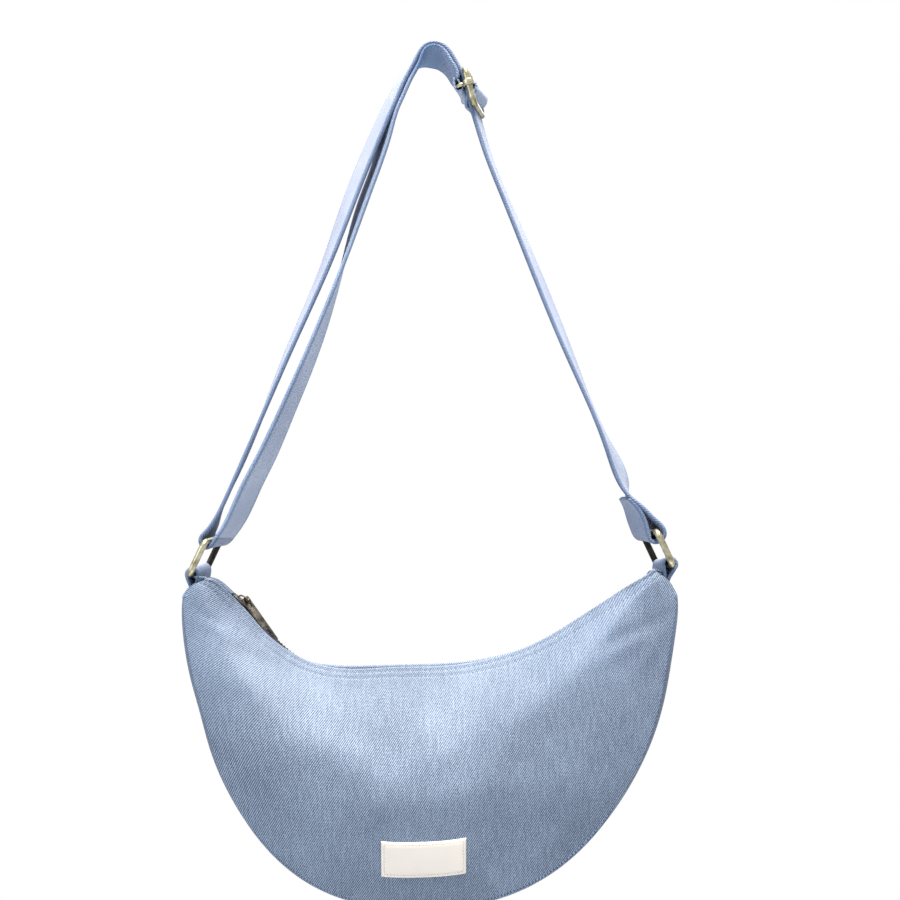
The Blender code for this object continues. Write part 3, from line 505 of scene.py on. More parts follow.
# Soft dents and creases: x, z, direction in degrees, length, width and height in millimetres
FRONT_CREASES = (
    (-128.0, -398.0, -32.0, 26.0, 5.0, 1.1),
    (-112.0, -412.0, -30.0, 26.0, 6.0, -1.0),
    (-146.0, -384.0, -28.0, 14.0, 4.0, -0.8),
    (-95.0, -432.0, -20.0, 40.0, 9.0, 1.0),
    (138.0, -392.0, 24.0, 22.0, 5.0, -1.1),
    (128.0, -402.0, 30.0, 24.0, 6.0, 0.9),
    (146.0, -408.0, 60.0, 20.0, 5.0, 0.7),
    (-30.0, -470.0, -38.0, 38.0, 12.0, -1.6),
    (34.0, -462.0, 42.0, 42.0, 13.0, -1.5),
    (0.0, -500.0, 4.0, 50.0, 14.0, 1.2),
    (92.0, -436.0, 36.0, 40.0, 12.0, 0.8),
    (-60.0, -520.0, 20.0, 50.0, 16.0, 0.8),
    (70.0, -520.0, -24.0, 50.0, 16.0, -0.8),
)
BACK_CREASES = (
    (-120.0, -400.0, -36.0, 30.0, 7.0, 1.0),
    (118.0, -404.0, 34.0, 30.0, 7.0, -1.0),
    (-40.0, -462.0, -34.0, 44.0, 13.0, -1.4),
    (48.0, -470.0, 38.0, 44.0, 13.0, 1.2),
    (0.0, -520.0, 2.0, 70.0, 18.0, 1.2),
)


def crease_height(x, z, creases):
    """Sum of long Gaussian ridges and hollows, each with its own direction."""
    total = np.zeros_like(x)
    for at_x, at_z, degrees, reach, width, rise in creases:
        turn = math.radians(degrees)
        along = (x / MM - at_x) * math.cos(turn) + (z / MM - at_z) * math.sin(turn)
        aside = (z / MM - at_z) * math.cos(turn) - (x / MM - at_x) * math.sin(turn)
        total += rise * MM * np.exp(-((along / reach) ** 2) - (aside / width) ** 2)
    return total


def panel_profile(fall, peak):
    """Fullness down a panel: a straight rise and a falling curve, joined by a soft minimum at the peak."""
    rise = fall / peak
    past = np.clip((fall - peak) / (1.0 - peak), 0.0, 1.0)
    drop = 1.0 + RIDGE_LIFT * (peak - np.minimum(fall, peak)) / peak - past**FALL_POWER
    blend = (rise + drop - np.sqrt((rise - drop) ** 2 + RIDGE_WIDTH**2)) / 2
    start = (1.0 + RIDGE_LIFT - np.sqrt((1.0 + RIDGE_LIFT) ** 2 + RIDGE_WIDTH**2)) / 2
    end = (1.0 / peak - np.sqrt(1.0 / peak**2 + RIDGE_WIDTH**2)) / 2
    return blend - start * (1.0 - fall) - end * fall


def panel_face(share, fall, fold, creases):
    """The outer face of a panel at the front: straight from fold to seam, plus its swell.

    The swell fades to the tips as a power of one less the square of the share.
    """
    sizes = body_sizes()
    share, fall = np.broadcast_arrays(share, fall)
    top_x = fold_x(share)
    top_z = height_at(fold, top_x) - sizes.fold_roll
    low_x, low_z = outline(share)
    knots = np.asarray(FULLEST)
    peak = spline(knots[:, 0], knots[:, 1], share)[..., 0]
    swell = sizes.swell * (1.0 - share**2) ** SWELL_POWER * panel_profile(fall, peak)
    depth = fold_depth(share) * (1.0 - fall) + seam_depth(share) * fall + swell
    x = top_x + (low_x - top_x) * fall
    z = top_z + (low_z - top_z) * fall
    edge = smoothstep(fall / CREASE_FADE) * smoothstep((1.0 - fall) / CREASE_FADE)
    depth = depth + crease_height(x, z, creases) * edge
    bulge = TIP_BULGE * smoothstep((np.abs(share) - BULGE_FROM) / BULGE_OVER) * np.sin(math.pi * fall)
    x = x + np.sign(share) * BULGE_OUT * bulge
    z = z + BULGE_UP * bulge
    return np.stack((x, -depth, z), axis=-1)


def panel_height(share, fold):
    """Straight distance from the fold down to the outer seam."""
    top_x = fold_x(share)
    low_x, low_z = outline(share)
    return np.hypot(low_x - top_x, low_z - height_at(fold, top_x))


GRAIN_PIVOT = np.array([-0.150, -0.372])    # near the left tip, where the cloth's grain turns most
GRAIN_REACH = 0.085
GRAIN_TURN = math.radians(30.0)


def cloth_map(points):
    """Where the flat denim lay: x and z, turned round the pivot by an angle that fades as a Gaussian."""
    flat = points[..., [0, 2]] - GRAIN_PIVOT
    reach = np.linalg.norm(flat, axis=-1)
    turn = GRAIN_TURN * np.exp(-((reach / GRAIN_REACH) ** 2))
    x = flat[..., 0] * np.cos(turn) - flat[..., 1] * np.sin(turn)
    z = flat[..., 0] * np.sin(turn) + flat[..., 1] * np.cos(turn)
    return np.stack((x, z), axis=-1)


def add_node(tree, kind, values=None, stops=(), **settings):
    """A shader node with its settings, and its inputs set to values or linked to other nodes.

    A node among the values stands for its first output. stops are a colour ramp's positions and colours.
    """
    node = tree.nodes.new(kind)
    for name, value in settings.items():
        setattr(node, name, value)
    for key, value in (values or {}).items():
        if isinstance(value, bpy.types.Node):
            value = value.outputs[0]
        if isinstance(value, bpy.types.NodeSocket):
            tree.links.new(value, node.inputs[key])
        else:
            node.inputs[key].default_value = value
    if stops:
        elements = node.color_ramp.elements
        while len(elements) < len(stops):
            elements.new(0.5)
        for element, (position, value) in zip(elements, stops):
            element.position, element.color = position, rgba(value)
    return node


def new_material(name, **constants):
    """A principled material whose constant values are set on the shader's own sockets."""
    material = bpy.data.materials.new(name)
    material.use_nodes = True
    shader = material.node_tree.nodes["Principled BSDF"]
    for key, value in constants.items():
        shader.inputs[key.replace("_", " ")].default_value = value
    return material, material.node_tree, shader


def rgba(value):
    """A colour with its opacity."""
    return (*value, 1.0)


def mixed(first, second, share):
    """A colour that lies between two, at a share of the way."""
    return tuple(a + (b - a) * share for a, b in zip(first, second))


def darker(tone, share):
    """A colour mixed with black."""
    return mixed(tone, (0, 0, 0), share)


def paler(tone, share):
    """A colour mixed with white."""
    return mixed(tone, (1, 1, 1), share)


def dress(tree, shader, tone, height, strength, distance):
    """Gives the shader its colour, and a bump from a height between 0 and 1."""
    tree.links.new(tone, shader.inputs["Base Color"])
    bump = add_node(tree, "ShaderNodeBump", {"Height": height, "Strength": strength, "Distance": distance})
    tree.links.new(bump.outputs["Normal"], shader.inputs["Normal"])


PAINTED_SHADE_TINT = (0.50, 0.60, 0.72, 1.0)     # painted shade of folded edges, seams and the arch's underside, multiplied in by the edge attribute; where that is negative it paints light
TWILL_PITCH = 1.22 * MM                 # of the ribs, coarser than the real 1 mm
PANEL_RIBS = math.radians(57.0)         # slope of the ribs on the bag's cloth
STRAP_RIBS = math.radians(52.0)         # and on the strap's
WANDER_CELLS, WANDER = 90.0, 0.55       # of the ribs off their line, in pitches
WARP_CELLS = (700.0, 70.0, 1.0)         # of the thick places, long along the warp
# What each noise adds to the tone: cells in a metre, detail, roughness and share
FLECKS = (820.0, 2.0, 0.7, 1.5)         # white flecks of weft
SLUBS = (1.0, 2.0, 0.5, 0.7)            # thick places, on the warp's own cells
WASH = (16.0, 3.0, 0.5, 1.0)            # clouds that the stone wash left
# The ribs are crisp at the bag's bottom and worn smooth near the top, where it is handled
WORN_FROM, WORN_TO = -0.50, -0.43
CRISP, WORN = 1.35, 0.72


def denim_twill(name, pale, deep, slope, line_strength):
    """Cotton denim twill, stone washed: pale, matte cloth with fine diagonal ribs and white flecks.

    The tone is a sine across the ribs, on a line that wanders, plus noises for the flecks, slubs and
    wash. Real ribs are about 1 mm apart, and here they are 1.22 mm, so that they show in the render.
    """
    material, tree, shader = new_material(
        name, Roughness=0.68, Sheen_Weight=0.05, Sheen_Roughness=0.45, Specular_IOR_Level=0.55
    )
    cloth = add_node(tree, "ShaderNodeUVMap", uv_map="cloth")
    across = (math.sin(slope) / TWILL_PITCH, -math.cos(slope) / TWILL_PITCH, 0.0)
    line = add_node(tree, "ShaderNodeVectorMath", {0: cloth, 1: across}, operation="DOT_PRODUCT")
    wander = add_node(tree, "ShaderNodeTexNoise", {"Vector": cloth, "Scale": WANDER_CELLS, "Detail": 2.0})
    values = {0: wander, 1: WANDER, 2: line.outputs["Value"]}
    phase = add_node(tree, "ShaderNodeMath", values, operation="MULTIPLY_ADD")
    phase = add_node(tree, "ShaderNodeMath", {0: phase, 1: TAU}, operation="MULTIPLY")
    rib = add_node(tree, "ShaderNodeMath", {0: phase}, operation="SINE")
    values = {0: rib, 1: line_strength / 2, 2: 0.5}
    tone = add_node(tree, "ShaderNodeMath", values, operation="MULTIPLY_ADD")
    warp = add_node(tree, "ShaderNodeMapping", {"Vector": cloth, "Scale": WARP_CELLS})
    for place, (cells, detail, roughness, share) in ((cloth, FLECKS), (warp, SLUBS), (cloth, WASH)):
        values = {"Vector": place, "Scale": cells, "Detail": detail, "Roughness": roughness}
        noise = add_node(tree, "ShaderNodeTexNoise", values)
        values = {0: noise, 1: share, 2: -share / 2}
        part = add_node(tree, "ShaderNodeMath", values, operation="MULTIPLY_ADD")
        tone = add_node(tree, "ShaderNodeMath", {0: part, 1: tone}, operation="ADD")
    place = add_node(tree, "ShaderNodeTexCoord").outputs["Object"]
    rise = add_node(tree, "ShaderNodeSeparateXYZ", {0: place}).outputs[2]
    values = {"Value": rise, "From Min": WORN_FROM, "From Max": WORN_TO, "To Min": CRISP, "To Max": WORN}
    crisp = add_node(tree, "ShaderNodeMapRange", values)
    tone = add_node(tree, "ShaderNodeMath", {0: tone, 1: 0.5}, operation="SUBTRACT")
    values = {0: tone, 1: crisp, 2: 0.5}
    tone = add_node(tree, "ShaderNodeMath", values, operation="MULTIPLY_ADD", use_clamp=True)
    stops = ((0.0, deep), (0.5, mixed(deep, pale, 0.5)), (1.0, pale))
    washed = add_node(tree, "ShaderNodeValToRGB", {"Fac": tone}, stops)
    # Painted shade: the edge attribute multiplies the colour by the tint, and paints light where it is
    # negative
    edge = add_node(tree, "ShaderNodeAttribute", attribute_name="edge").outputs["Fac"]
    shade = add_node(
        tree, "ShaderNodeMix", {0: edge, 6: washed, 7: PAINTED_SHADE_TINT},
        data_type="RGBA", blend_type="MULTIPLY", clamp_factor=False,
    )
    dress(tree, shader, shade.outputs[2], tone.outputs[0], 0.9, 0.4 * MM)
    return material


FAR_ROD_SHADE_TINT = (0.08, 0.08, 0.10, 1.0)     # painted shade on the rods' far side, behind the strap
FAR_SHADE_FROM, FAR_SHADE_TO = 0.010, 0.020       # depth over which that painted shade sets in


def antique_metal(name, pale, deep, roughness, grain, far_rod_shade=0.0):
    """Antique plated wire or casting: satin metal with a mottled patina, and painted shade on the far side of
    its rods, as strong as the last argument.
    """
    material, tree, shader = new_material(name, Metallic=1.0)
    place = add_node(tree, "ShaderNodeTexCoord").outputs["Object"]
    values = {"Vector": place, "Scale": grain, "Detail": 4.0, "Roughness": 0.65}
    patina = add_node(tree, "ShaderNodeTexNoise", values)
    tone = add_node(tree, "ShaderNodeValToRGB", {"Fac": patina}, ((0.36, deep), (0.62, pale)))
    # Painted shade: the rods darken towards their far side, behind the strap
    depth = add_node(tree, "ShaderNodeSeparateXYZ", {0: place}).outputs[1]
    values = {"Value": depth, "From Min": FAR_SHADE_FROM, "From Max": FAR_SHADE_TO, "To Max": far_rod_shade}
    behind = add_node(tree, "ShaderNodeMapRange", values)
    shade = add_node(
        tree, "ShaderNodeMix", {0: behind, 6: tone, 7: FAR_ROD_SHADE_TINT}, data_type="RGBA", blend_type="MULTIPLY"
    )
    fine = add_node(tree, "ShaderNodeTexNoise", {"Vector": place, "Scale": grain * 6.0, "Detail": 3.0})
    values = {"Value": fine, "To Min": roughness - 0.08, "To Max": roughness + 0.12}
    rough = add_node(tree, "ShaderNodeMapRange", values)
    tree.links.new(rough.outputs[0], shader.inputs["Roughness"])
    dress(tree, shader, shade.outputs[2], fine.outputs[0], 0.12, 0.1 * MM)
    return material


def woven_tape(name, tone, pitch):
    """Polyester zip tape: dark, matte cloth with a herringbone of fine ribs."""
    material, tree, shader = new_material(name, Roughness=0.8, Specular_IOR_Level=0.3)
    cloth = add_node(tree, "ShaderNodeUVMap", uv_map="cloth")
    # 3.2 turns Blender's wave scale into ribs at the pitch
    values = {"Vector": cloth, "Scale": 1.0 / pitch / 3.2, "Distortion": 1.0}
    wave = add_node(tree, "ShaderNodeTexWave", values).outputs["Fac"]
    stops = ((0.0, darker(tone, 0.4)), (1.0, paler(tone, 0.06)))
    ribs = add_node(tree, "ShaderNodeValToRGB", {"Fac": wave}, stops)
    dress(tree, shader, ribs.outputs[0], wave, 0.4, 0.2 * MM)
    return material


def plain_weave(name, tone, pitch, depth):
    """Plain woven cotton or satin: matte cloth whose crossing threads show as a fine check."""
    material, tree, shader = new_material(name, Roughness=0.82, Specular_IOR_Level=0.3)
    cloth = add_node(tree, "ShaderNodeUVMap", uv_map="cloth")
    check = add_node(tree, "ShaderNodeVectorMath", {0: cloth, 3: TAU / pitch}, operation="SCALE")
    parts = add_node(tree, "ShaderNodeSeparateXYZ", {0: check}).outputs
    weft, warp = (
        add_node(tree, "ShaderNodeMath", {0: parts[axis]}, operation="SINE") for axis in (0, 1)
    )
    height = add_node(tree, "ShaderNodeMath", {0: weft, 1: warp}, operation="MULTIPLY")
    grime = add_node(tree, "ShaderNodeTexNoise", {"Vector": cloth, "Scale": 60.0, "Detail": 4.0})
    values = {0: height, 1: 0.25, 2: grime}
    height = add_node(tree, "ShaderNodeMath", values, operation="MULTIPLY_ADD", use_clamp=True)
    stops = ((0.2, darker(tone, depth)), (0.7, tone))
    threads = add_node(tree, "ShaderNodeValToRGB", {"Fac": height}, stops)
    dress(tree, shader, threads.outputs[0], height.outputs[0], 0.3, 0.2 * MM)
    return material


def spun_thread(name, tone):
    """Spun polyester thread: slightly glossy plies twisted round each other."""
    material, tree, shader = new_material(name, Roughness=0.6)
    place = add_node(tree, "ShaderNodeTexCoord").outputs["Object"]
    plies = add_node(tree, "ShaderNodeTexNoise", {"Vector": place, "Scale": 900.0})
    stops = ((0.3, darker(tone, 0.35)), (0.7, paler(tone, 0.15)))
    twist = add_node(tree, "ShaderNodeValToRGB", {"Fac": plies}, stops)
    tree.links.new(twist.outputs[0], shader.inputs["Base Color"])
    return material


def finish(name):
    """The named material, made on its first use by its maker from the values beside it."""
    if name in bpy.data.materials:
        return bpy.data.materials[name]
    tones = finishes()
    maker, *values = {
        "stonewashed denim twill": (denim_twill, tones.denim_pale, tones.denim_deep, PANEL_RIBS, 1.0),
        "folded denim strap, painted paler": (denim_twill, tones.lit_strap_pale, tones.lit_strap_deep, STRAP_RIBS, 0.6),
        "folded denim strap": (denim_twill, tones.strap_pale, tones.strap_deep, STRAP_RIBS, 0.6),
        "antique brass plating": (antique_metal, tones.brass_pale, tones.brass_deep, 0.34, 160.0, 1.0),
        "dark antique plating": (antique_metal, tones.dark_pale, tones.dark_deep, 0.38, 260.0),
        "blackened zip teeth": (antique_metal, tones.teeth_pale, tones.teeth_deep, 0.42, 260.0),
        "navy zip tape weave": (woven_tape, tones.tape, 0.9 * MM),
        "cotton lining weave": (plain_weave, tones.lining, 1.1 * MM, 0.12),
        "cream label satin": (plain_weave, tones.label, 0.8 * MM, 0.06),
        "tone-on-tone thread": (spun_thread, tones.thread),
        "label border thread": (spun_thread, tones.label_edge),
    }[name]
    return maker(name, *values)


# The four rings of a stitch: their place in shares of its length, and size and rise in its gauge
STITCH_RINGS = np.array([-0.5, -0.3, 0.3, 0.5])
STITCH_SPREAD = np.array([0.35, 1.0, 1.0, 0.35]) / 2
STITCH_RISE = np.array([-0.6, 0.1, 0.1, -0.6])
STITCH_SIDES = 6


def stitches(name, path, outward, pitch, reach, gauge, thread):
    """A row of short threads along a path: each is a hexagon swept through four rings, and tapers."""
    at = distances(path)
    count = int(at[-1] / pitch)
    where = (np.arange(count) + 0.5) * at[-1] / count
    spots = where[:, None] + STITCH_RINGS * reach
    centre = np.stack([np.interp(spots, at, path[:, axis]) for axis in range(3)], axis=-1)
    normal = unit(np.stack([np.interp(spots, at, outward[:, axis]) for axis in range(3)], axis=-1))
    along = unit(centre[:, -1] - centre[:, 0])[:, None, :]
    aside = unit(np.cross(normal, along))
    turns = np.arange(STITCH_SIDES)[:, None] * TAU / STITCH_SIDES
    around = np.cos(turns) * aside[:, :, None] + np.sin(turns) * normal[:, :, None]
    centre = centre + gauge * STITCH_RISE[:, None] * normal
    points = centre[:, :, None] + gauge * STITCH_SPREAD[:, None, None] * around
    return prisms(name, points, thread)


def joined(name, things):
    """One object from several, under the first one's material list."""
    net = bmesh.new()
    for thing in things:
        net.from_mesh(thing.data)
    mesh = bpy.data.meshes.new(name)
    net.to_mesh(mesh)
    net.free()
    material = things[0].data.materials[0]
    for thing in things:
        bpy.data.objects.remove(thing)
    mesh.shade_smooth()
    return new_object(name, mesh, material)


CLOSE_ROWS, CLOSE_STEP = 18, 0.7 * MM   # of a panel's grid past its stitching
OPEN_ROWS = 96                          # from there down to the seam
PANEL_COLUMNS = 210
STITCH_DENT = 0.35 * MM
DENT_REACH = 0.7 * MM                   # to each side of a row of stitches
STITCH_SHARE = 0.72                     # of the pitch that the thread shows
SEAM_SWEEP = math.radians(110.0)        # how far panels and gusset roll into their seam
TIP_SWEEP = math.radians(100.0)         # and the panels at the tips
ROW_SPAN = 0.985                        # share across the bag that the stitching reaches
FALL_STEP = 0.004                       # down the panel, over which its slope is taken


def panel_falls(height):
    """Rows down a panel: close ones past the stitching, then evenly to the seam."""
    close = np.arange(CLOSE_ROWS) * CLOSE_STEP / height
    return np.concatenate((close, np.linspace(close[-1], 1.0, OPEN_ROWS)[1:]))


def panel_net(fold, creases, side):
    """Points of one panel from its hem over the fold and down to the rolled seam, and its tips."""
    sizes = body_sizes()
    share = np.linspace(-1.0, 1.0, PANEL_COLUMNS)
    fall = panel_falls(float(panel_height(np.array(0.0), fold)))
    net = panel_face(share[None, :], fall[:, None], fold, creases)
    outward = outward_of(net)
    distance = fall[:, None] * panel_height(share, fold)[None, :] + sizes.fold_roll
    for row in (sizes.first_row, sizes.second_row):
        dent = STITCH_DENT * np.exp(-(((distance - row) / DENT_REACH) ** 2))
        net = net - dent[..., None] * outward
    net = rolled_edge(net, sizes.seam_roll, SEAM_SWEEP, 5, 1.0)
    net = rolled_edge(net[::-1], sizes.fold_roll, math.pi, 9, -1.0)
    net = extended(net, sizes.hem, 3)[::-1]
    return rolled_sides(net, sizes.seam_roll, TIP_SWEEP, -1.0) * np.array([1.0, -side, 1.0])


def stitch_row(name, fold, creases, side, distance):
    """Topstitching that follows a fold at a distance below it."""
    sizes = body_sizes()
    share = np.linspace(-ROW_SPAN, ROW_SPAN, 500)
    fall = (distance - sizes.fold_roll) / panel_height(share, fold)
    spot = panel_face(share, fall, fold, creases)
    down = panel_face(share, fall + FALL_STEP, fold, creases) - spot
    outward = unit(np.cross(down, np.gradient(spot, axis=0)))
    mirror = np.array([1.0, -side, 1.0])
    return stitches(
        name, (spot - outward * STITCH_DENT) * mirror, outward * mirror, sizes.stitch_pitch,
        sizes.stitch_pitch * STITCH_SHARE, sizes.stitch_gauge, finish("tone-on-tone thread"),
    )


FRONT = -1
BACK = 1
FACES = (("front", FRONT, FRONT_FOLD, FRONT_CREASES), ("back", BACK, BACK_FOLD, BACK_CREASES))

# Zones of painted shade on the panels, or of painted light where the share is negative: the middle's x
# and z, the reach along both, in millimetres, and the share
LIGHT_AND_SHADE_ZONES = (
    (120.0, -397.0, 30.0, 24.0, 0.40), (-148.0, -383.0, 20.0, 22.0, 0.32),
    (-18.0, -446.0, 80.0, 34.0, -0.28), (-116.0, -474.0, 30.0, 26.0, -0.18),
)


def painted_light_and_shade(net):
    """How much painted shade the cloth gets at each point, or painted light where it is negative: share
    exp(-(dx / wide)^2 - (dz / tall)^2), summed.
    """
    x, z = net[..., 0] / MM, net[..., 2] / MM
    return sum(
        share * np.exp(-(((x - middle_x) / wide) ** 2) - ((z - middle_z) / tall) ** 2)
        for middle_x, middle_z, wide, tall, share in LIGHT_AND_SHADE_ZONES
    )


class MakePanels(Operator):
    """Front and back panels, each rolled over beside the zip and topstitched twice"""

    bl_idname = "denim_bag.panels"
    bl_label = "Panels"

    def execute(self, context):
        sizes = body_sizes()
        denim = finish("stonewashed denim twill")
        for word, side, fold, creases in FACES:
            net = panel_net(fold, creases, side)
            name = word + "_panel_cloth"
            panel = grid_object(name, net, cloth_map(net), denim, flip=side == FRONT)
            # painted shade and painted light, zone by zone
            set_shade(panel, painted_light_and_shade(net))
            give_wall(panel, sizes.cloth)
            settle(panel, "bag", "light_wash_denim", word + "_panel")
            rows = [
                stitch_row(f"{word}_row_{number}", fold, creases, side, distance)
                for number, distance in enumerate((sizes.first_row, sizes.second_row))
            ]
            settle(joined(word + "_topstitching", rows), "bag", "light_wash_denim")
        return {"FINISHED"}


def end_edge(side):
    """Fold end, outline corner and their middle at a tip, as x and z."""
    top = np.array([side * FRONT_FOLD[-1][0] * MM, (FRONT_FOLD[0][1] + BACK_FOLD[0][1]) / 2 * MM])
    if side > 0:
        top[1] = (FRONT_FOLD[-1][1] + BACK_FOLD[-1][1]) / 2 * MM
    corner = np.array(outline(np.array(float(side))))
    return top, corner, (top + corner) / 2


SEAM_SHADE = 0.75           # painted shade: how much darker the gusset is beside its seams
SEAM_ROWS = 16.0            # rows of its grid over which that fades
GUSSET_GAP = 0.4 * MM       # from its edges to the seams
GUSSET_LIFT = 0.6 * MM      # of its middle past the crown
GUSSET_TUCK = 2.2 * MM      # of its edges at the ends, to lie inside the tips
GUSSET_CLIMB = 0.12         # share of the way from a tip's middle to its corner, where it ends
CROWN_FROM, CROWN_OVER = 0.30, 0.35     # share where the sides' own crown sets in, and over what
CROWN_POWER = 12            # keeps the crown full nearly to the tips


class MakeGusset(Operator):
    """The band that joins the panels round the bottom, bulging a little between its seams"""

    bl_idname = "denim_bag.gusset"
    bl_label = "Gusset"

    def execute(self, context):
        sizes = body_sizes()
        path, half_width, crown = self.lay_out(sizes)
        along = unit(np.gradient(path, axis=0))
        outward = np.stack((along[:, 1], -along[:, 0]), axis=-1)
        across = np.linspace(-1.0, 1.0, 41)
        arch = crown[:, None] * (1.0 - across**2) ** 0.8
        net = arched_band(path, outward, half_width, arch, across)
        net = rolled_sides(net, sizes.seam_roll, SEAM_SWEEP, 1.0)
        cloth = np.stack(np.broadcast_arrays(net[..., 1], distances(path)[:, None]), axis=-1)
        band = grid_object("gusset_cloth", net, cloth, finish("stonewashed denim twill"))
        rim = np.minimum(np.arange(net.shape[1]), np.arange(net.shape[1])[::-1])
        shade = SEAM_SHADE * smoothstep((SEAM_ROWS - rim) / SEAM_ROWS)
        set_shade(band, np.tile(shade, len(net)))
        give_wall(band, sizes.cloth)
        settle(band, "bag", "light_wash_denim", "bottom_gusset")
        return {"FINISHED"}

    def lay_out(self, sizes):
        """The band's path from tip to tip in x and z, and its half width and crown along it."""
        share = np.linspace(-1.0, 1.0, 240)
        sides = smoothstep((np.abs(share) - CROWN_FROM) / CROWN_OVER)
        full = np.sqrt(np.clip(1.0 - share**CROWN_POWER, 0.0, 1.0))
        crown = (sizes.crown + sizes.side_crown * sides) * full + GUSSET_LIFT
        climb = np.linspace(1.0, GUSSET_CLIMB, 8)[1:, None]
        ends = []
        for side in (-1, 1):
            _, corner, middle = end_edge(side)
            ends.append(middle + (corner - middle) * climb)
        path = np.vstack((ends[0][::-1], np.stack(outline(share), axis=-1), ends[1]))
        pad = len(climb)
        past = np.abs(np.arange(len(path)) - (len(path) - 1) / 2) - len(share) / 2
        half_width = np.pad(seam_depth(share) - GUSSET_GAP, pad, mode="edge")
        half_width = half_width - GUSSET_TUCK * smoothstep(past / pad)
        return path, half_width, np.pad(crown, pad, mode="edge")


PATCH_SPAN = {"left": 0.868, "right": 0.915}        # share across the bag where each patch begins
PATCH_END = 0.985                                   # and where it turns down
PATCH_SINK = {"left": 0.3 * MM, "right": 8.0 * MM}  # below the folds, where the puller comes to rest
PATCH_BEND = (0.12, 0.3, 0.45)      # shares of the way from a fold's end to the tip's middle
PATCH_ARCH = 2.0 * MM
PATCH_GAP = 0.2 * MM                # to the folded edge beside it


class MakeEndPatches(Operator):
    """Denim patches that cover the ends of the zip and close the tips above the tabs"""

    bl_idname = "denim_bag.end_patches"
    bl_label = "End patches"

    def execute(self, context):
        sizes = body_sizes()
        across = np.linspace(-1.0, 1.0, 17)
        for side, word in ((-1, "left"), (1, "right")):
            share = np.linspace(PATCH_SPAN[word], PATCH_END, 16) * side
            x = fold_x(share)
            level = (height_at(FRONT_FOLD, x) + height_at(BACK_FOLD, x)) / 2 - PATCH_SINK[word]
            top, _, middle = end_edge(side)
            bend = np.array([top + (middle - top) * part for part in PATCH_BEND])
            path = smooth_path(np.vstack((np.stack((x, level), axis=-1), bend)), 40)
            reach = np.clip(np.interp(path[:, 0] * side, x * side, share * side), 0, 1)
            half = fold_depth(reach) - (2 * sizes.fold_roll + PATCH_GAP)
            along = unit(np.gradient(path, axis=0))
            outward = np.stack((-along[:, 1], along[:, 0]), axis=-1) * side
            net = arched_band(path, outward, half, PATCH_ARCH * (1.0 - across[None, :] ** 2), across)
            lean = (height_at(BACK_FOLD, path[:, 0]) - height_at(FRONT_FOLD, path[:, 0])) / 2
            net[..., 2] += lean[:, None] * across
            cloth = net[..., [0, 1]] + np.array([0.0, 1.0]) * net[..., [2, 2]]
            name = word + "_end_patch_cloth"
            patch = grid_object(name, net, cloth, finish("stonewashed denim twill"), flip=side > 0)
            give_wall(patch, sizes.cloth)
            settle(patch, "bag", "light_wash_denim", word + "_end_patch")
        return {"FINISHED"}


GROOVE = 0.3 * MM           # depth of the dent that a row of stitches pulls in
GROOVE_REACH = 0.5 * MM
GROOVE_COLUMNS = np.array([-0.8, -0.4, 0.0, 0.4, 0.8]) * MM
GROOVE_CLEAR = 3.0 * MM     # from the groove to the face's own columns


def webbing_profile(half_width, half_thickness, margin):
    """Round the section of folded webbing: flat faces with two stitch grooves, and round edges."""
    flat = half_width - half_thickness
    groove = half_width - margin
    middle = np.linspace(-groove + GROOVE_CLEAR, groove - GROOVE_CLEAR, 9)
    face = np.concatenate(
        ([-flat], -groove + GROOVE_COLUMNS, middle, groove + GROOVE_COLUMNS, [flat])
    )
    height = half_thickness - GROOVE * np.exp(-(((np.abs(face) - groove) / GROOVE_REACH) ** 2))
    turns = np.linspace(math.pi / 2, -math.pi / 2, 9)[1:-1]
    edge = np.stack((flat + half_thickness * np.cos(turns), half_thickness * np.sin(turns)), axis=-1)
    top = np.stack((face, height), axis=-1)
    return np.vstack((top, edge, -top, -edge))


def webbing(name, path, slant, width, thickness, margin, material):
    """Folded webbing carried along a path of x and z.

    slant holds how far the far edge stands off the near one in x and z, so the section's width
    points along (slant x, width, slant z), and its thickness is square to that and to the path.
    """
    profile = webbing_profile(width / 2, thickness / 2, margin)
    centre = np.zeros((len(path), 3))
    centre[:, [0, 2]] = path
    along = unit(np.gradient(centre, axis=0))
    breadth = np.zeros_like(centre)
    breadth[:, 1] = width
    breadth[:, [0, 2]] = slant
    breadth = unit(breadth - (breadth * along).sum(axis=1, keepdims=True) * along)
    normal = np.cross(along, breadth)
    net = centre[:, None] + profile[:, :1] * breadth[:, None] + profile[:, 1:] * normal[:, None]
    girth = distances(np.vstack((profile, profile[:1])))
    cloth = np.stack(np.broadcast_arrays(girth, distances(centre)[:, None]), axis=-1)
    strip = grid_object(name, net, cloth, material, wrap=(False, True), caps=True)
    close_normals(strip)
    # Painted shade on the strap's rounded edges
    shade = smoothstep((np.abs(profile[:, 0]) - width / 2 + thickness) / (thickness / 2))
    set_shade(strip, np.tile(shade, len(path)))
    lines = []
    for face in (-1, 1):
        for side in (-1, 1):
            line = centre + side * (width / 2 - margin) * breadth
            lines.append((line + face * (thickness / 2 - GROOVE) * normal, face * normal))
    return strip, lines


WEB_THREAD = 0.6        # share of the panels' thread gauge that the strap is sewn with
WEB_SHARE = 0.7         # of the pitch that the thread shows
STRAP_PITCH = 3.2 * MM
TAB_PITCH = 3.0 * MM


def webbing_stitches(name, lines, pitch):
    """The rows of stitches along a webbing's edges, as one object."""
    gauge = WEB_THREAD * body_sizes().stitch_gauge
    thread = finish("tone-on-tone thread")
    rows = [
        stitches(f"{name}_{number}", line, outward, pitch, pitch * WEB_SHARE, gauge, thread)
        for number, (line, outward) in enumerate(lines)
    ]
    return joined(name, rows)


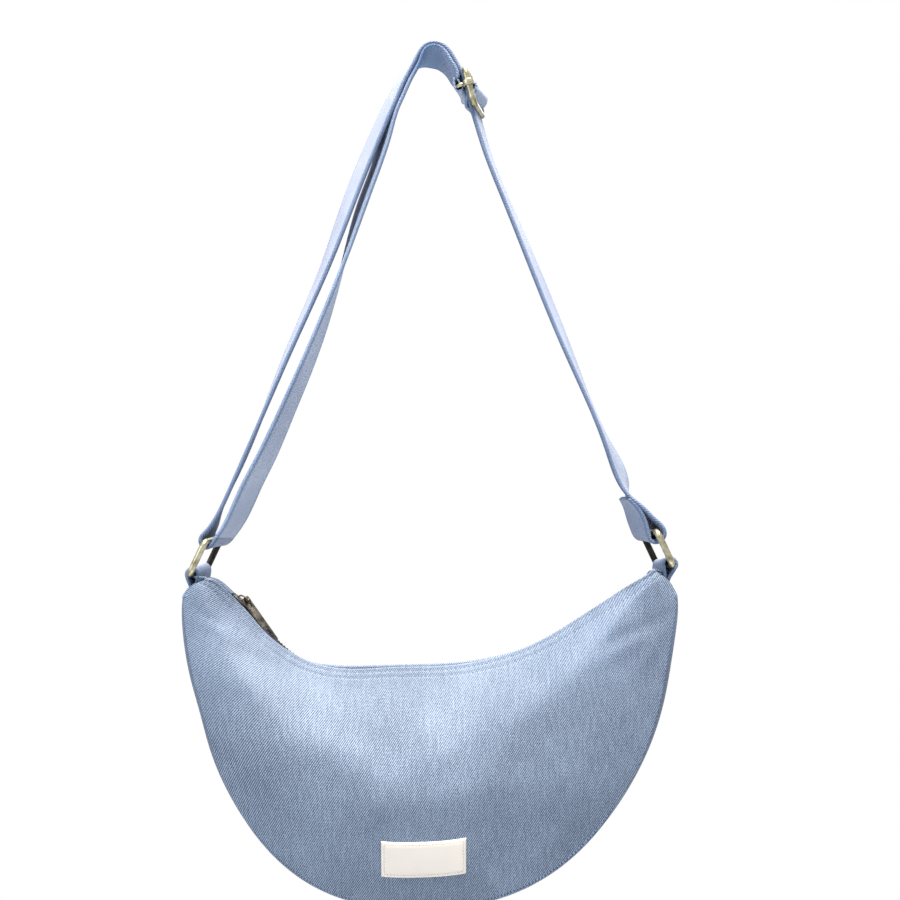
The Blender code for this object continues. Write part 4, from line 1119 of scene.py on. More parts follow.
# Knots of the strap in millimetres: x, z, and how far the far edge stands off the near one in x and z
RIGHT_LOOP = (
    (134.3, -303.0, -2.0, 0.0), (138.7, -309.3, -4.8, 0.0), (142.2, -317.0, -7.0, 0.0),
    (145.0, -325.6, -6.4, 0.0), (148.8, -331.4, -6.0, 0.0), (153.6, -331.2, -5.0, 0.0),
    (157.0, -326.6, -4.5, 0.0), (155.4, -321.8, -4.5, 0.0), (150.4, -316.8, -4.5, 0.0),
    (142.8, -309.0, -3.4, 0.0), (137.4, -301.9, 2.5, 0.0), (134.9, -295.6, 8.4, 0.0),
)
RIGHT_RUN = (
    (123.4, -268.0, 9.0, 0.0), (95.6, -202.3, 8.6, 0.0), (54.0, -101.0, 7.6, 0.0),
    (38.6, -62.0, 6.6, 0.0), (34.4, -48.0, 6.8, 0.0), (31.6, -38.0, 7.2, 0.4),
    (29.6, -31.0, 6.6, 0.4), (27.2, -24.0, 4.4, 0.0), (24.4, -17.6, 2.0, 0.0),
)
ARCH = (
    (20.9, -12.1, 0.8, -0.9), (16.6, -5.2, 0.4, -1.2), (12.2, 0.5, 0.0, -2.2), (7.2, 4.1, -0.8, -2.0),
    (1.8, 5.2, -2.3, -1.6), (-4.2, 3.9, -5.6, -1.0), (-10.2, -0.6, -9.0, 0.0), (-16.2, -9.4, -10.4, 0.4),
    (-21.0, -17.6, -11.4, 0.0), (-26.0, -27.7, -12.4, 0.0), (-31.2, -39.0, -13.0, 0.0),
)
OUTER_LEFT = (
    (-36.7, -51.4, -13.4, 0.0), (-54.2, -94.2, -13.6, 0.0), (-71.6, -141.5, -10.8, 0.0),
    (-97.8, -202.3, -8.6, 0.0), (-117.2, -249.5, -5.8, 0.0), (-134.8, -290.0, -5.4, 0.0),
    (-146.3, -315.0, -4.4, 0.0),
)
LEFT_BEND = (
    (-151.0, -324.6, 0.0, 0.0), (-153.8, -330.4, 2.6, 0.0), (-151.4, -335.2, 3.8, 0.0),
)
INNER_LEFT = (
    (-147.0, -335.0, 6.0, 0.0), (-141.6, -329.8, 7.2, 0.0), (-136.0, -321.5, 7.8, 0.0),
    (-130.2, -310.3, 8.4, 0.0), (-124.2, -296.8, 8.4, 0.0), (-114.0, -276.6, 7.8, 0.0),
    (-101.6, -249.5, 5.8, 0.0), (-81.4, -202.3, 3.0, 0.0), (-59.8, -141.5, -5.0, 0.0),
    (-44.6, -94.2, -10.2, 0.0), (-31.6, -55.0, -11.0, 0.0),
)
INNER_SAG = 3.0 * MM        # of the inner run's far edge below the outer one's, over the arch
SAG_FROM, SAG_OVER = -12.0 * MM, 10.0 * MM      # across the bag, where that sag sets in
OUTER_RUN = RIGHT_LOOP + RIGHT_RUN + ARCH + OUTER_LEFT + LEFT_BEND + INNER_LEFT[:2]
PLY_GAP = 0.3 * MM          # between the strap's two plies over the arch
SEWN_PLY = 1.3 * MM         # thickness of the inner run's sewn end
SEWN_REACH = 5.6 * MM       # from the centre bar up to the end of the inner run
SEWN_GAP = 0.1 * MM         # between the centre bar and the ply round it
SEWN_FLARE = 0.9 * MM       # of the two plies' ends off the middle
SEWN_FULL = 1.7 * MM        # and of their fullest places, this far down from their ends
SEWN_FULL_AT = 2.6 * MM
END_SLANT = (3.5 * MM, 0.0)     # of the inner run's end
SEWN_SLANT = (6.2 * MM, 1.2 * MM)
WEAVE_SLANT = (9.0 * MM, 1.2 * MM)
WEAVE_PLY = 2.2 * MM
WEAVE_NARROWER = 0.6 * MM
# Down and out from the buckle's centre, in millimetres
WEAVE = (
    (-6.4, -4.4), (-5.4, -1.8), (-4.4, 0.8), (-2.4, 3.4), (0.6, 4.7), (3.8, 3.4), (6.0, 0.6),
    (7.8, -2.0), (10.6, -4.2), (13.2, -4.6),
)

# The buckle hangs a little askew on the strap
FRAME_LEAN = math.radians(8.0)      # of its long axis, from the run's line towards the vertical
FRAME_TWIST = math.radians(8.8)     # about its long axis, as the strap there has turned
FRAME_SHIFT = -2.6 * MM             # up along its long axis
FRAME_DOWN = np.array([
    RUN_DOWN[0] * math.cos(FRAME_LEAN) + RUN_DOWN[1] * math.sin(FRAME_LEAN),
    RUN_DOWN[1] * math.cos(FRAME_LEAN) - RUN_DOWN[0] * math.sin(FRAME_LEAN),
])
FRAME_OUT = np.array([-FRAME_DOWN[1], FRAME_DOWN[0]])


def strap_knots(rows):
    """Knots of the strap as an array in metres."""
    return np.asarray(rows) * MM


def inner_knots():
    """The inner run: its own knots up to the arch, one ply inside the outer run's over it, and the bar."""
    arch = strap_knots(ARCH[::-1])
    along = unit(np.gradient(arch[:, :2], axis=0))
    inward = np.stack((along[:, 1], -along[:, 0]), axis=-1)
    arch[:, :2] += (strap_sizes().thickness + PLY_GAP) * inward
    arch[:, 3] -= INNER_SAG * smoothstep((arch[:, 0] - SAG_FROM) / SAG_OVER)
    end = np.concatenate((bar_axis() - SEWN_REACH * FRAME_DOWN, END_SLANT))
    return np.vstack((strap_knots(INNER_LEFT[1:]), arch, end))


def strap_path(knots, count):
    """Samples of a strap's knots in metres: its path, and the slant of its width."""
    rows = smooth_path(knots, count)
    return rows[:, :2], rows[:, 2:]


def frame_centre():
    """The buckle's middle, where it hangs in the photograph."""
    low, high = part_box("buckle_frame")
    centre = (np.array(low) + np.array(high)) / 2
    centre[[0, 2]] += FRAME_SHIFT * FRAME_DOWN
    return centre


def buckle_spot(down, out):
    """A place in the buckle's middle plane, from its centre along its long axis and outwards."""
    return frame_centre()[[0, 2]] + down * FRAME_DOWN + out * FRAME_OUT


def twisted(points):
    """Points turned about the buckle's long axis, as the strap there has turned."""
    centre = frame_centre()
    axis = Vector((FRAME_DOWN[0], 0.0, FRAME_DOWN[1]))
    turn = np.array(Matrix.Rotation(FRAME_TWIST, 3, axis))
    return (points - centre) @ turn.T + centre


ARCH_SHADE_BELOW, ARCH_SHADE_RISE = -0.034, 0.024      # height where the painted shade under the arch begins, and over what it grows to full
SHADE_SIDE_FROM, SHADE_SIDE_REACH = 0.003, 0.012        # across the bag, where the arch's right side gets less painted shade
SIDE_LESS_SHADE = 0.42
ARCH_SHADE = 1.45                              # strength of the painted shade under the arch, where a folded edge is 1


def paint_arch_shade(strip):
    """Paints shade on the ply under the arch, where the arch shades it: wholly down to 10 mm, and none at 34.
    """
    count = len(strip.data.vertices)
    points = np.zeros(count * 3)
    strip.data.vertices.foreach_get("co", points)
    points = points.reshape(-1, 3)
    share = smoothstep((points[:, 2] - ARCH_SHADE_BELOW) / ARCH_SHADE_RISE)
    share *= 1.0 - SIDE_LESS_SHADE * smoothstep((points[:, 0] - SHADE_SIDE_FROM) / SHADE_SIDE_REACH)
    layer = strip.data.attributes["edge"]
    shade = np.zeros(count)
    layer.data.foreach_get("value", shade)
    layer.data.foreach_set("value", np.maximum(shade, ARCH_SHADE * share))


class MakeStrap(Operator):
    """The folded strap: one long run from ring to ring, and the inner run back up to the buckle"""

    bl_idname = "denim_bag.strap"
    bl_label = "Strap"

    def execute(self, context):
        # the inner run, its sewn end and the weave take the strap denim's paler copy, which is painted light
        worn = finish("folded denim strap, painted paler")
        outer = finish("folded denim strap")
        strip, thread = self.make_run("outer", strap_knots(OUTER_RUN), 620, outer)
        settle(strip, "strap", "denim_webbing", "strap_outer_run")
        settle(thread, "strap", "denim_webbing")
        strip, thread = self.make_run("inner", inner_knots(), 320, worn)
        paint_arch_shade(strip)
        draw_out(strip, "denim_webbing", "strap_inner_run")
        draw_out(thread, "denim_webbing")
        self.make_sewn_end(worn)
        self.make_weave(worn)
        return {"FINISHED"}

    def make_run(self, word, knots, count, material):
        """One run of the strap and its stitches."""
        sizes = strap_sizes()
        path, slant = strap_path(knots, count)
        strip, lines = webbing(
            f"strap_{word}_cloth", path, slant, sizes.width, sizes.thickness, sizes.stitch_margin, material
        )
        return strip, webbing_stitches(f"strap_{word}_stitching", lines, STRAP_PITCH)

    def make_sewn_end(self, material):
        """The inner run's end, turned back round the buckle's centre bar."""
        sizes = strap_sizes()
        bar = bar_axis()
        bend = hardware_sizes().bar_wire / 2 + SEWN_GAP + SEWN_PLY / 2
        turns = np.linspace(0.0, math.pi, 9)[:, None]
        around = bar + bend * (np.cos(turns) * FRAME_OUT + np.sin(turns) * FRAME_DOWN)
        top = bar - SEWN_REACH * FRAME_DOWN
        full = top + SEWN_FULL_AT * FRAME_DOWN
        first = (top + SEWN_FLARE * FRAME_OUT, full + SEWN_FULL * FRAME_OUT)
        last = (full - SEWN_FULL * FRAME_OUT, top - SEWN_FLARE * FRAME_OUT)
        path = smooth_path(np.vstack((*first, around, *last)), 60)
        strip, _ = webbing(
            "sewn_end_cloth", path, SEWN_SLANT, sizes.width, SEWN_PLY, sizes.stitch_margin, material
        )
        settle(strip, "buckle_bar", "denim_webbing", "strap_sewn_end")

    def make_weave(self, material):
        """The part of the run that rises between the buckle's end bars, over its centre bar."""
        sizes = strap_sizes()
        path = smooth_path([buckle_spot(down * MM, out * MM) for down, out in WEAVE], 50)
        width = sizes.width - WEAVE_NARROWER
        strip, _ = webbing(
            "strap_weave_cloth", path, WEAVE_SLANT, width, WEAVE_PLY, sizes.stitch_margin, material
        )
        settle(strip, "buckle_bar", "denim_webbing")


def loop_round(bar, up, out, radius, narrow, taper, reach):
    """A folded loop round a bar: it opens from narrow to radius each side, and closes again."""
    climb = np.linspace(1.0, 0.0, 10)[:, None]
    widths = narrow + (radius - narrow) * smoothstep(1.0 - climb)
    down_side = bar + taper * climb * up - widths * out
    turns = np.linspace(0.0, math.pi, 26)[1:-1, None]
    under = bar - radius * (np.cos(turns) * out + np.sin(turns) * up)
    up_side = (bar + taper * climb * up + widths * out)[::-1]
    tail = bar + reach * up - narrow * out
    end = bar + reach * up + narrow * out
    return np.vstack((tail, down_side, under, up_side, end))


TAB_GAP = 0.4 * MM          # between the ring and the tab round it
TAB_CLOSED = 0.2 * MM       # half the gap between the tab's two plies
TAB_NARROWER = 1.0 * MM     # than the strap
TAB_TURN = 0.6              # share of the ring's turn that the tab follows
RIGHT_TAB_TILT = 0.05       # of the right tab past its ring


class MakeTabs(Operator):
    """Folded tabs that hold the rings at the bag's ends"""

    bl_idname = "denim_bag.tabs"
    bl_label = "Tabs"

    def execute(self, context):
        sizes = strap_sizes()
        bend = hardware_sizes().ring_wire / 2 + TAB_GAP + sizes.tab_thickness / 2
        narrow = sizes.tab_thickness / 2 + TAB_CLOSED
        for side, word, bar in ((-1, "left", LEFT_LOWER_BAR), (1, "right", RIGHT_LOWER_BAR)):
            _, _, middle = end_edge(side)
            up = unit(bar - middle)
            out = np.array([up[1], -up[0]])
            reach = np.linalg.norm(bar - middle) + sizes.tab_inset
            path = loop_round(bar, -up, out, bend, narrow, sizes.tab_length, reach)
            tilt = RING_TILT[word] + (side > 0) * RIGHT_TAB_TILT
            slant = np.array([-side * RING_TURN * TAB_TURN, -tilt]) * sizes.width
            strip, lines = webbing(
                word + "_tab_cloth", path, slant, sizes.width - TAB_NARROWER, sizes.tab_thickness,
                sizes.stitch_margin, finish("folded denim strap"),
            )
            settle(strip, "bag", "denim_webbing", word + "_tab")
            thread = webbing_stitches(word + "_tab_stitching", lines[:2], TAB_PITCH)
            settle(thread, "bag", "denim_webbing")
        return {"FINISHED"}


def round_loop(half_length, half_width, corner, steps=10):
    """Points round a rectangle with round corners, evenly enough for a swept wire."""
    turns = np.linspace(0.0, math.pi / 2, steps)
    loop = []
    for quarter, (a, b) in enumerate(((1, 1), (-1, 1), (-1, -1), (1, -1))):
        turn = turns + quarter * math.pi / 2
        loop.append(np.stack((
            a * (half_length - corner) + corner * np.cos(turn),
            b * (half_width - corner) + corner * np.sin(turn),
        ), axis=-1))
    return np.vstack(loop)


def tube(name, path, gauge, material, closed, sides=20):
    """Round wire: a circle carried along a path, turned square to it by the bend-free frame."""
    ahead = np.roll(path, -1, axis=0) - np.roll(path, 1, axis=0)
    if not closed:
        ahead = np.gradient(path, axis=0)
    along = unit(ahead)
    flat = unit(np.cross(path[1] - path[0], path[len(path) // 2] - path[0]))
    aside = unit(np.cross(along, flat))
    lift = np.cross(aside, along)
    turns = np.arange(sides) * TAU / sides
    ring = np.cos(turns)[None, :, None] * aside[:, None] + np.sin(turns)[None, :, None] * lift[:, None]
    net = path[:, None] + np.asarray(gauge).reshape(-1, 1, 1) / 2 * ring
    rows, columns = net.shape[:2]
    cloth = np.zeros((rows + closed, columns + 1, 2))
    wire = grid_object(name, net, cloth, material, wrap=(closed, True), caps=not closed)
    return close_normals(wire)


# How much nearer the middle, and how much lower, each ring's far side hangs, per depth
RING_TURN = 0.075
RING_TILT = {"left": 0.0, "right": 0.09}


def ring_path(centre, along, tilt):
    """The middle of a ring's wire, from its centre and the direction across its two bars in x and z."""
    sizes = hardware_sizes()
    half = np.linalg.norm(along) / 2
    loop = round_loop(half, sizes.ring_half_width, sizes.ring_corner)
    path = np.zeros((len(loop), 3))
    path[:, [0, 2]] = centre + loop[:, :1] * unit(along)
    path[:, 0] -= np.sign(centre[0]) * RING_TURN * loop[:, 1]
    path[:, 2] -= tilt * loop[:, 1]
    path[:, 1] = loop[:, 1]
    return path


class MakeRings(Operator):
    """Rectangular rings of round wire between the strap and the tabs"""

    bl_idname = "denim_bag.rings"
    bl_label = "Rings"

    def execute(self, context):
        sizes = hardware_sizes()
        brass = finish("antique brass plating")
        for word, upper, lower in (
            ("left", LEFT_UPPER_BAR, LEFT_LOWER_BAR),
            ("right", RIGHT_UPPER_BAR, RIGHT_LOWER_BAR),
        ):
            path = ring_path((upper + lower) / 2, lower - upper, RING_TILT[word])
            ring = tube(word + "_ring_wire", path, sizes.ring_wire, brass, True)
            settle(ring, word + "_ring", "antique_brass", word + "_ring")
        return {"FINISHED"}


BAR_GAP = 0.4 * MM          # between the frame, the plies and the centre bar, in all
BAR_CORNER = 2.5 * MM
BAR_SHORT = 1.0 * MM        # from the bar's end, inside its eye, to the side rod
FRAME_CORNER = 5.0 * MM
EYE_GAP = 0.3 * MM
EYE_WALL = 1.5 * MM
EYE_HALF = 1.9 * MM
EYE_SQUARE = 2.0 / 4.0      # power that squares the eye's section off


def bar_axis():
    """Axis of the buckle's centre bar, which runs inside the strap."""
    sizes = hardware_sizes()
    plies = strap_sizes().thickness + SEWN_PLY
    reach = sizes.buckle_wire / 2 + plies + sizes.bar_wire / 2 + BAR_GAP
    return buckle_spot(-sizes.bar_rise, -reach)


class MakeBuckle(Operator):
    """The sliding buckle: a wire frame, and a cranked centre bar curled round its side rods"""

    bl_idname = "denim_bag.buckle"
    bl_label = "Buckle"

    def execute(self, context):
        sizes = hardware_sizes()
        brass = finish("antique brass plating")
        centre = frame_centre()[[0, 2]]
        loop = round_loop(sizes.buckle_length / 2, sizes.ring_half_width, FRAME_CORNER)
        path = np.zeros((len(loop), 3))
        path[:, [0, 2]] = centre + loop[:, :1] * FRAME_DOWN
        path[:, 1] = loop[:, 1]
        wire = tube("buckle_frame_wire", twisted(path), sizes.buckle_wire, brass, True)
        settle(wire, "buckle_frame", "antique_brass", "buckle_frame")
        self.make_bar(brass)
        return {"FINISHED"}

    def make_bar(self, brass):
        """A bar that runs inside the strap and steps out to an eye on each side rod."""
        sizes = hardware_sizes()
        bar = bar_axis()
        spot = buckle_spot(-sizes.bar_rise, 0.0)
        half = sizes.ring_half_width
        turns = np.linspace(0.0, math.pi / 2, 8)
        step = np.linalg.norm(spot - bar) - sizes.buckle_wire / 2 - BAR_SHORT
        rise = np.concatenate(([step], BAR_CORNER - BAR_CORNER * np.sin(turns)))
        reach = np.concatenate(([half], half - BAR_CORNER + BAR_CORNER * np.cos(turns)))
        rise = np.concatenate((rise, rise[::-1]))
        reach = np.concatenate((reach, -reach[::-1]))
        path = np.zeros((len(rise), 3))
        path[:, [0, 2]] = bar + rise[:, None] * FRAME_OUT
        path[:, 1] = reach
        pieces = [tube("bar_wire", twisted(path), sizes.bar_wire, brass, False, 16)]
        for side in (-1, 1):
            pieces.append(self.make_eye(spot, side * half, brass))
        settle(joined("buckle_bar_wire", pieces), "buckle_bar", "antique_brass", "buckle_bar")

    def make_eye(self, spot, depth, brass):
        """A curled end: a rounded band spun about the side rod."""
        turn = np.linspace(0.0, TAU, 17)[:-1]
        radial, rise = squared_circle(turn, EYE_SQUARE)
        radial = hardware_sizes().buckle_wire / 2 + EYE_GAP + EYE_WALL / 2 * (1.0 + radial)
        around = np.linspace(0.0, TAU, 33)[:-1, None, None]
        axis = np.array([FRAME_DOWN[0], 0.0, FRAME_DOWN[1]])
        out = np.array([FRAME_OUT[0], 0.0, FRAME_OUT[1]])
        deep = np.array([0.0, 1.0, 0.0])
        centre = np.array([spot[0], depth, spot[1]])
        spin = np.cos(around) * out + np.sin(around) * deep
        net = centre + radial[:, None] * spin + EYE_HALF * rise[:, None] * axis
        cloth = np.zeros((len(around) + 1, len(turn) + 1, 2))
        eye = grid_object("eye", twisted(net), cloth, brass, wrap=(True, True))
        return close_normals(eye)


def zip_frame(x):
    """Points on the zip line, its direction and its outward side, in x and z."""
    z = height_at(ZIP_LINE, x)
    step = 0.5 * MM
    slope = (height_at(ZIP_LINE, x + step) - height_at(ZIP_LINE, x - step)) / (2 * step)
    along = unit(np.stack((np.ones_like(x), slope), axis=-1))
    up = np.stack((-along[..., 1], along[..., 0]), axis=-1)
    return np.stack((x, z), axis=-1), along, up


ZIP_REACH = 0.1372      # across the bag, where the teeth end
TAPE_SPAN = 0.93        # share across the bag that the tape reaches
TAPE_WALL = 0.6 * MM
# Columns of the tape: its beaded edge by depth and rise, and the part inside the panel by its drop
TAPE_BEAD = np.array([(0.4, -0.3), (1.6, 0.4), (2.2, 0.6), (2.8, 0.4), (3.4, -0.3)]) * MM
TAPE_GAP = 0.4 * MM     # to the folded edge, and below the zip's line there
TAPE_TURN = 1.2 * MM
TAPE_DROPS = np.array([1.6, 5.0, 10.0]) * MM
# The five sections of a tooth: place across the bag, from its root to its tip, and width and height
TOOTH_NOSE = np.array([-0.6, -0.2, 0.8]) * MM
TOOTH_NECK = 0.6 * MM
TOOTH_WIDTH = np.array([0.55, 0.95, 0.62, 0.85, 0.6]) * 0.36
TOOTH_HEIGHT = np.array([0.6, 0.95, 1.0, 1.0, 0.6])
TOOTH_SIDES = 8
TOOTH_SQUARE = 0.6      # power that squares the section off
TOOTH_SHIFT = {FRONT: 0.25, BACK: 0.75}     # of each row along the zip, in pitches


class MakeZip(Operator):
    """Zip tapes, two rows of meshing teeth and the metal stops at their ends"""

    bl_idname = "denim_bag.zip"
    bl_label = "Zip"

    def execute(self, context):
        for word, side, *_ in FACES:
            self.make_tape(word, side)
            self.make_teeth(word, side)
        dark = finish("dark antique plating")
        for node in ("zip_top_stop_front", "zip_top_stop_back", "zip_bottom_stop"):
            frame["nodes"][node].data.materials[0] = dark
        return {"FINISHED"}

    def make_tape(self, word, side):
        """Tape from under the teeth out to the fold, then down inside the panel."""
        share = np.linspace(-TAPE_SPAN, TAPE_SPAN, 200)
        place, _, up = zip_frame(fold_x(share))
        inner = fold_depth(share) - 2 * body_sizes().fold_roll - TAPE_GAP
        columns = [(depth, rise) for depth, rise in TAPE_BEAD]
        columns += [(inner - TAPE_TURN, -TAPE_GAP)] + [(inner, -drop) for drop in TAPE_DROPS]
        net = np.zeros((len(share), len(columns), 3))
        for column, (depth, rise) in enumerate(columns):
            net[:, column, [0, 2]] = place + rise * up
            net[:, column, 1] = side * depth
        girth = np.arange(len(columns)) * 2.0 * MM
        cloth = np.stack(np.broadcast_arrays(distances(place)[:, None], girth), axis=-1)
        name = f"zip_tape_{word}_cloth"
        tape = grid_object(name, net, cloth, finish("navy zip tape weave"), flip=side == BACK)
        give_wall(tape, TAPE_WALL)
        settle(tape, "bag", "navy_zip_tape", "zip_tape_" + word)

    def make_teeth(self, word, side):
        """Moulded teeth, each a rounded block that reaches past the middle between its neighbours."""
        sizes = hardware_sizes()
        dense = np.linspace(-ZIP_REACH, ZIP_REACH, 2000)
        run = distances(zip_frame(dense)[0])
        count = int(run[-1] / sizes.tooth_pitch)
        at = (np.arange(count) + TOOTH_SHIFT[side]) * sizes.tooth_pitch
        spot, along, up = zip_frame(np.interp(at, run, dense))
        outer = sizes.chain_half_width
        across = np.concatenate((TOOTH_NOSE, [outer - TOOTH_NECK, outer]))
        turn = (np.arange(TOOTH_SIDES) + 0.5) * TAU / TOOTH_SIDES
        round_x, round_z = squared_circle(turn, TOOTH_SQUARE)
        local_x = (TOOTH_WIDTH * sizes.tooth_pitch)[:, None, None] * round_x[:, None]
        local_z = (TOOTH_HEIGHT * sizes.tooth_height / 2)[:, None, None] * round_z[:, None]
        net = np.zeros((count, len(across), TOOTH_SIDES, 3))
        net[..., [0, 2]] = (
            spot[:, None, None] + local_x * along[:, None, None] + local_z * up[:, None, None]
        )
        net[..., 1] = side * across[:, None]
        teeth = prisms(f"zip_teeth_{word}_metal", net, finish("blackened zip teeth"))
        settle(teeth, "bag", "dark_antique_brass", "zip_teeth_" + word)


MERGE_REACH = 0.02 * MM     # within which a solid's loose points are one


def softened_copy(name, node, shape, edge, material):
    """A copy of a solid with its loose triangles merged, its points reshaped and its edges rounded."""
    mesh = frame["nodes"][node].data.copy()
    net = bmesh.new()
    net.from_mesh(mesh)
    bmesh.ops.remove_doubles(net, verts=net.verts, dist=MERGE_REACH)
    bmesh.ops.dissolve_limit(net, angle_limit=math.radians(1.0), verts=net.verts, edges=net.edges)
    net.to_mesh(mesh)
    net.free()
    points = np.zeros(len(mesh.vertices) * 3)
    mesh.vertices.foreach_get("co", points)
    mesh.vertices.foreach_set("co", shape(points.reshape(-1, 3)).ravel())
    mesh.materials.clear()
    thing = new_object(name, mesh, material)
    bevel = thing.modifiers.new("rounded edges", "BEVEL")
    bevel.width = edge
    bevel.segments = 2
    bevel.limit_method = "ANGLE"
    mesh.shade_smooth()
    return thing


SLIDER_SINK = 0.9 * MM              # the zip lies this much lower under the slider's weight
BRIDGE_FOOT = 2.5 * MM              # from the puller's axis down to the slider's upper plate
BRIDGE_SQUASH = 0.62                # of the bridge over that plate
PULLER_YOKE = 4.6 * MM              # across the round yoke at the puller's root, inside the bridge
PULLER_YOKE_HALF = 1.2 * MM
PULLER_YOKE_AHEAD = 2.8 * MM
PULLER_YOKE_DOWN = 1.7 * MM
HAIR = 0.02 * MM                    # the yoke's axis bows by this, which gives tube() its plane
PULLER_DROP = math.radians(14.5)    # of the puller's tip below the slider's own plane
PULLER_ROLL = math.radians(24.0)    # of its face towards the front
PULLER_STRETCH = 1.14
SLIDER_EDGE = 0.25 * MM             # width of the rounded edges
PULLER_EDGE = 0.3 * MM


class MakeSlider(Operator):
    """The zip slider and its slotted puller, with rounded edges"""

    bl_idname = "denim_bag.slider"
    bl_label = "Slider and puller"

    def execute(self, context):
        dark = finish("dark antique plating")
        down = unit(PULLER_AXIS - ZIP_CENTRE)
        ahead = np.array([down[1], -down[0]]) * np.sign(-down[1])
        ahead = ahead if ahead[0] > 0 else -ahead

        def lowered_bridge(points):
            """Points over the upper plate come closer to it, and all of them sink."""
            depth = (points[:, [0, 2]] - PULLER_AXIS) @ down
            shift = np.where(depth < BRIDGE_FOOT, (BRIDGE_FOOT - depth) * (1.0 - BRIDGE_SQUASH), 0.0)
            points[:, [0, 2]] += (shift + SLIDER_SINK)[:, None] * down
            return points

        def laid_puller(points):
            """Stretched from its axis, rolled about its length, dropped at its tip, and sunk."""
            flat = points[:, [0, 2]] - PULLER_AXIS
            reach = flat @ ahead * PULLER_STRETCH
            depth = flat @ down
            aside = points[:, 1]
            rolled = depth * math.cos(PULLER_ROLL) - aside * math.sin(PULLER_ROLL)
            aside = depth * math.sin(PULLER_ROLL) + aside * math.cos(PULLER_ROLL)
            drop = rolled * math.cos(PULLER_DROP) + reach * math.sin(PULLER_DROP)
            reach = reach * math.cos(PULLER_DROP) - rolled * math.sin(PULLER_DROP)
            sink = SLIDER_SINK + BRIDGE_FOOT * (1.0 - BRIDGE_SQUASH)
            points[:, [0, 2]] = PULLER_AXIS + reach[:, None] * ahead + (drop + sink)[:, None] * down
            points[:, 1] = aside
            return points

        slider = softened_copy("zip_slider_metal", "zip_slider", lowered_bridge, SLIDER_EDGE, dark)
        settle(slider, "zip_slider", "dark_antique_brass", "zip_slider")
        puller = softened_copy("zip_puller_metal", "zip_puller", laid_puller, PULLER_EDGE, dark)
        settle(puller, "zip_puller", "dark_antique_brass", "zip_puller")
        middle = PULLER_AXIS + PULLER_YOKE_AHEAD * ahead + PULLER_YOKE_DOWN * down
        share = np.linspace(-1.0, 1.0, 5)
        bow = HAIR * (1.0 - share**2)
        path = np.stack((middle[0] + bow, PULLER_YOKE_HALF * share, np.full(5, middle[1])), axis=-1)
        yoke = tube("zip_puller_yoke", path, PULLER_YOKE, dark, False)
        settle(yoke, "zip_puller", "dark_antique_brass")
        return {"FINISHED"}


LABEL_LEAN = math.radians(1.2)      # its right end is sewn on a little higher
LABEL_LIFT = 0.5 * MM               # of its edge off the panel
LABEL_PUFF = 0.7 * MM               # of its middle past its edge
LABEL_RIM = 1.5 * MM                # over which that puff rises
LABEL_DENT = 0.3 * MM               # that its stitches pull in, this far inside its edge
LABEL_DENT_AT = 1.8 * MM
LABEL_DENT_REACH = 0.6 * MM
LABEL_WALL = 0.7 * MM
LABEL_INSET = 2                     # columns of its grid outside its stitches
LABEL_THREAD = (2.2 * MM, 1.7 * MM, 0.5 * MM)       # their pitch, length and gauge


class MakeLabel(Operator):
    """A bare woven label with a sewn border, low on the front panel"""

    bl_idname = "denim_bag.label"
    bl_label = "Label"

    def execute(self, context):
        sizes = hardware_sizes()
        half = sizes.label_width / 2
        across = np.linspace(-half, half, 57)
        down = np.linspace(0.0, sizes.label_height, 28)
        net = self.lay_out(sizes, across, down)
        outward = outward_of(net)
        outward *= -np.sign(outward[..., 1:2])
        edge = np.minimum(half - np.abs(across), np.minimum(down, down[::-1])[:, None])
        dent = LABEL_DENT * np.exp(-(((edge - LABEL_DENT_AT) / LABEL_DENT_REACH) ** 2))
        puff = LABEL_LIFT + LABEL_PUFF * smoothstep(edge / LABEL_RIM) - dent
        net = net + puff[..., None] * outward
        cloth = np.stack(np.broadcast_arrays(across, -down[:, None]), axis=-1)
        label = grid_object("label_cloth", net, cloth, finish("cream label satin"), flip=True)
        give_wall(label, LABEL_WALL)
        settle(label, "bag", "cream_label", "label")
        thread = finish("label border thread")
        border = stitches("label_stitching", self.rim(net), self.rim(outward), *LABEL_THREAD, thread)
        settle(border, "bag", "cream_label")
        return {"FINISHED"}

    def lay_out(self, sizes, across, down):
        """Points of the label on the front panel, row by row down it."""
        height = float(panel_height(np.array(0.0), FRONT_FOLD))
        low = 1.0 - sizes.label_margin / height
        high = low - sizes.label_height / height
        dense = np.linspace(-0.4, 0.4, 400)
        lift = math.tan(LABEL_LEAN) * across / height
        net = np.zeros((len(down), len(across), 3))
        for row, part in enumerate(high + (low - high) * down / sizes.label_height):
            line = panel_face(dense, np.full_like(dense, part), FRONT_FOLD, FRONT_CREASES)
            share = np.interp(across + sizes.label_centre, line[:, 0], dense)
            net[row] = panel_face(share, part - lift, FRONT_FOLD, FRONT_CREASES)
        return net

    def rim(self, net):
        """The points of a grid under the border's stitches, once round."""
        first, last = LABEL_INSET, -1 - LABEL_INSET
        inner = slice(first, -first)
        there = (net[first, inner], net[inner, last])
        return np.concatenate((*there, net[last, inner][::-1], net[inner, first][::-1]))


LINING_SPAN = 0.78              # share across the bag that the lining reaches
LINING_FROM, LINING_TO = 0.07, 0.985        # share down the panel
LINING_BEHIND = 3.0 * MM        # the panels
LINING_ABOVE = 3.5 * MM         # the gusset
LINING_NARROWER = 4.0 * MM      # than the seam, to each side
LINING_WALL = 0.4 * MM


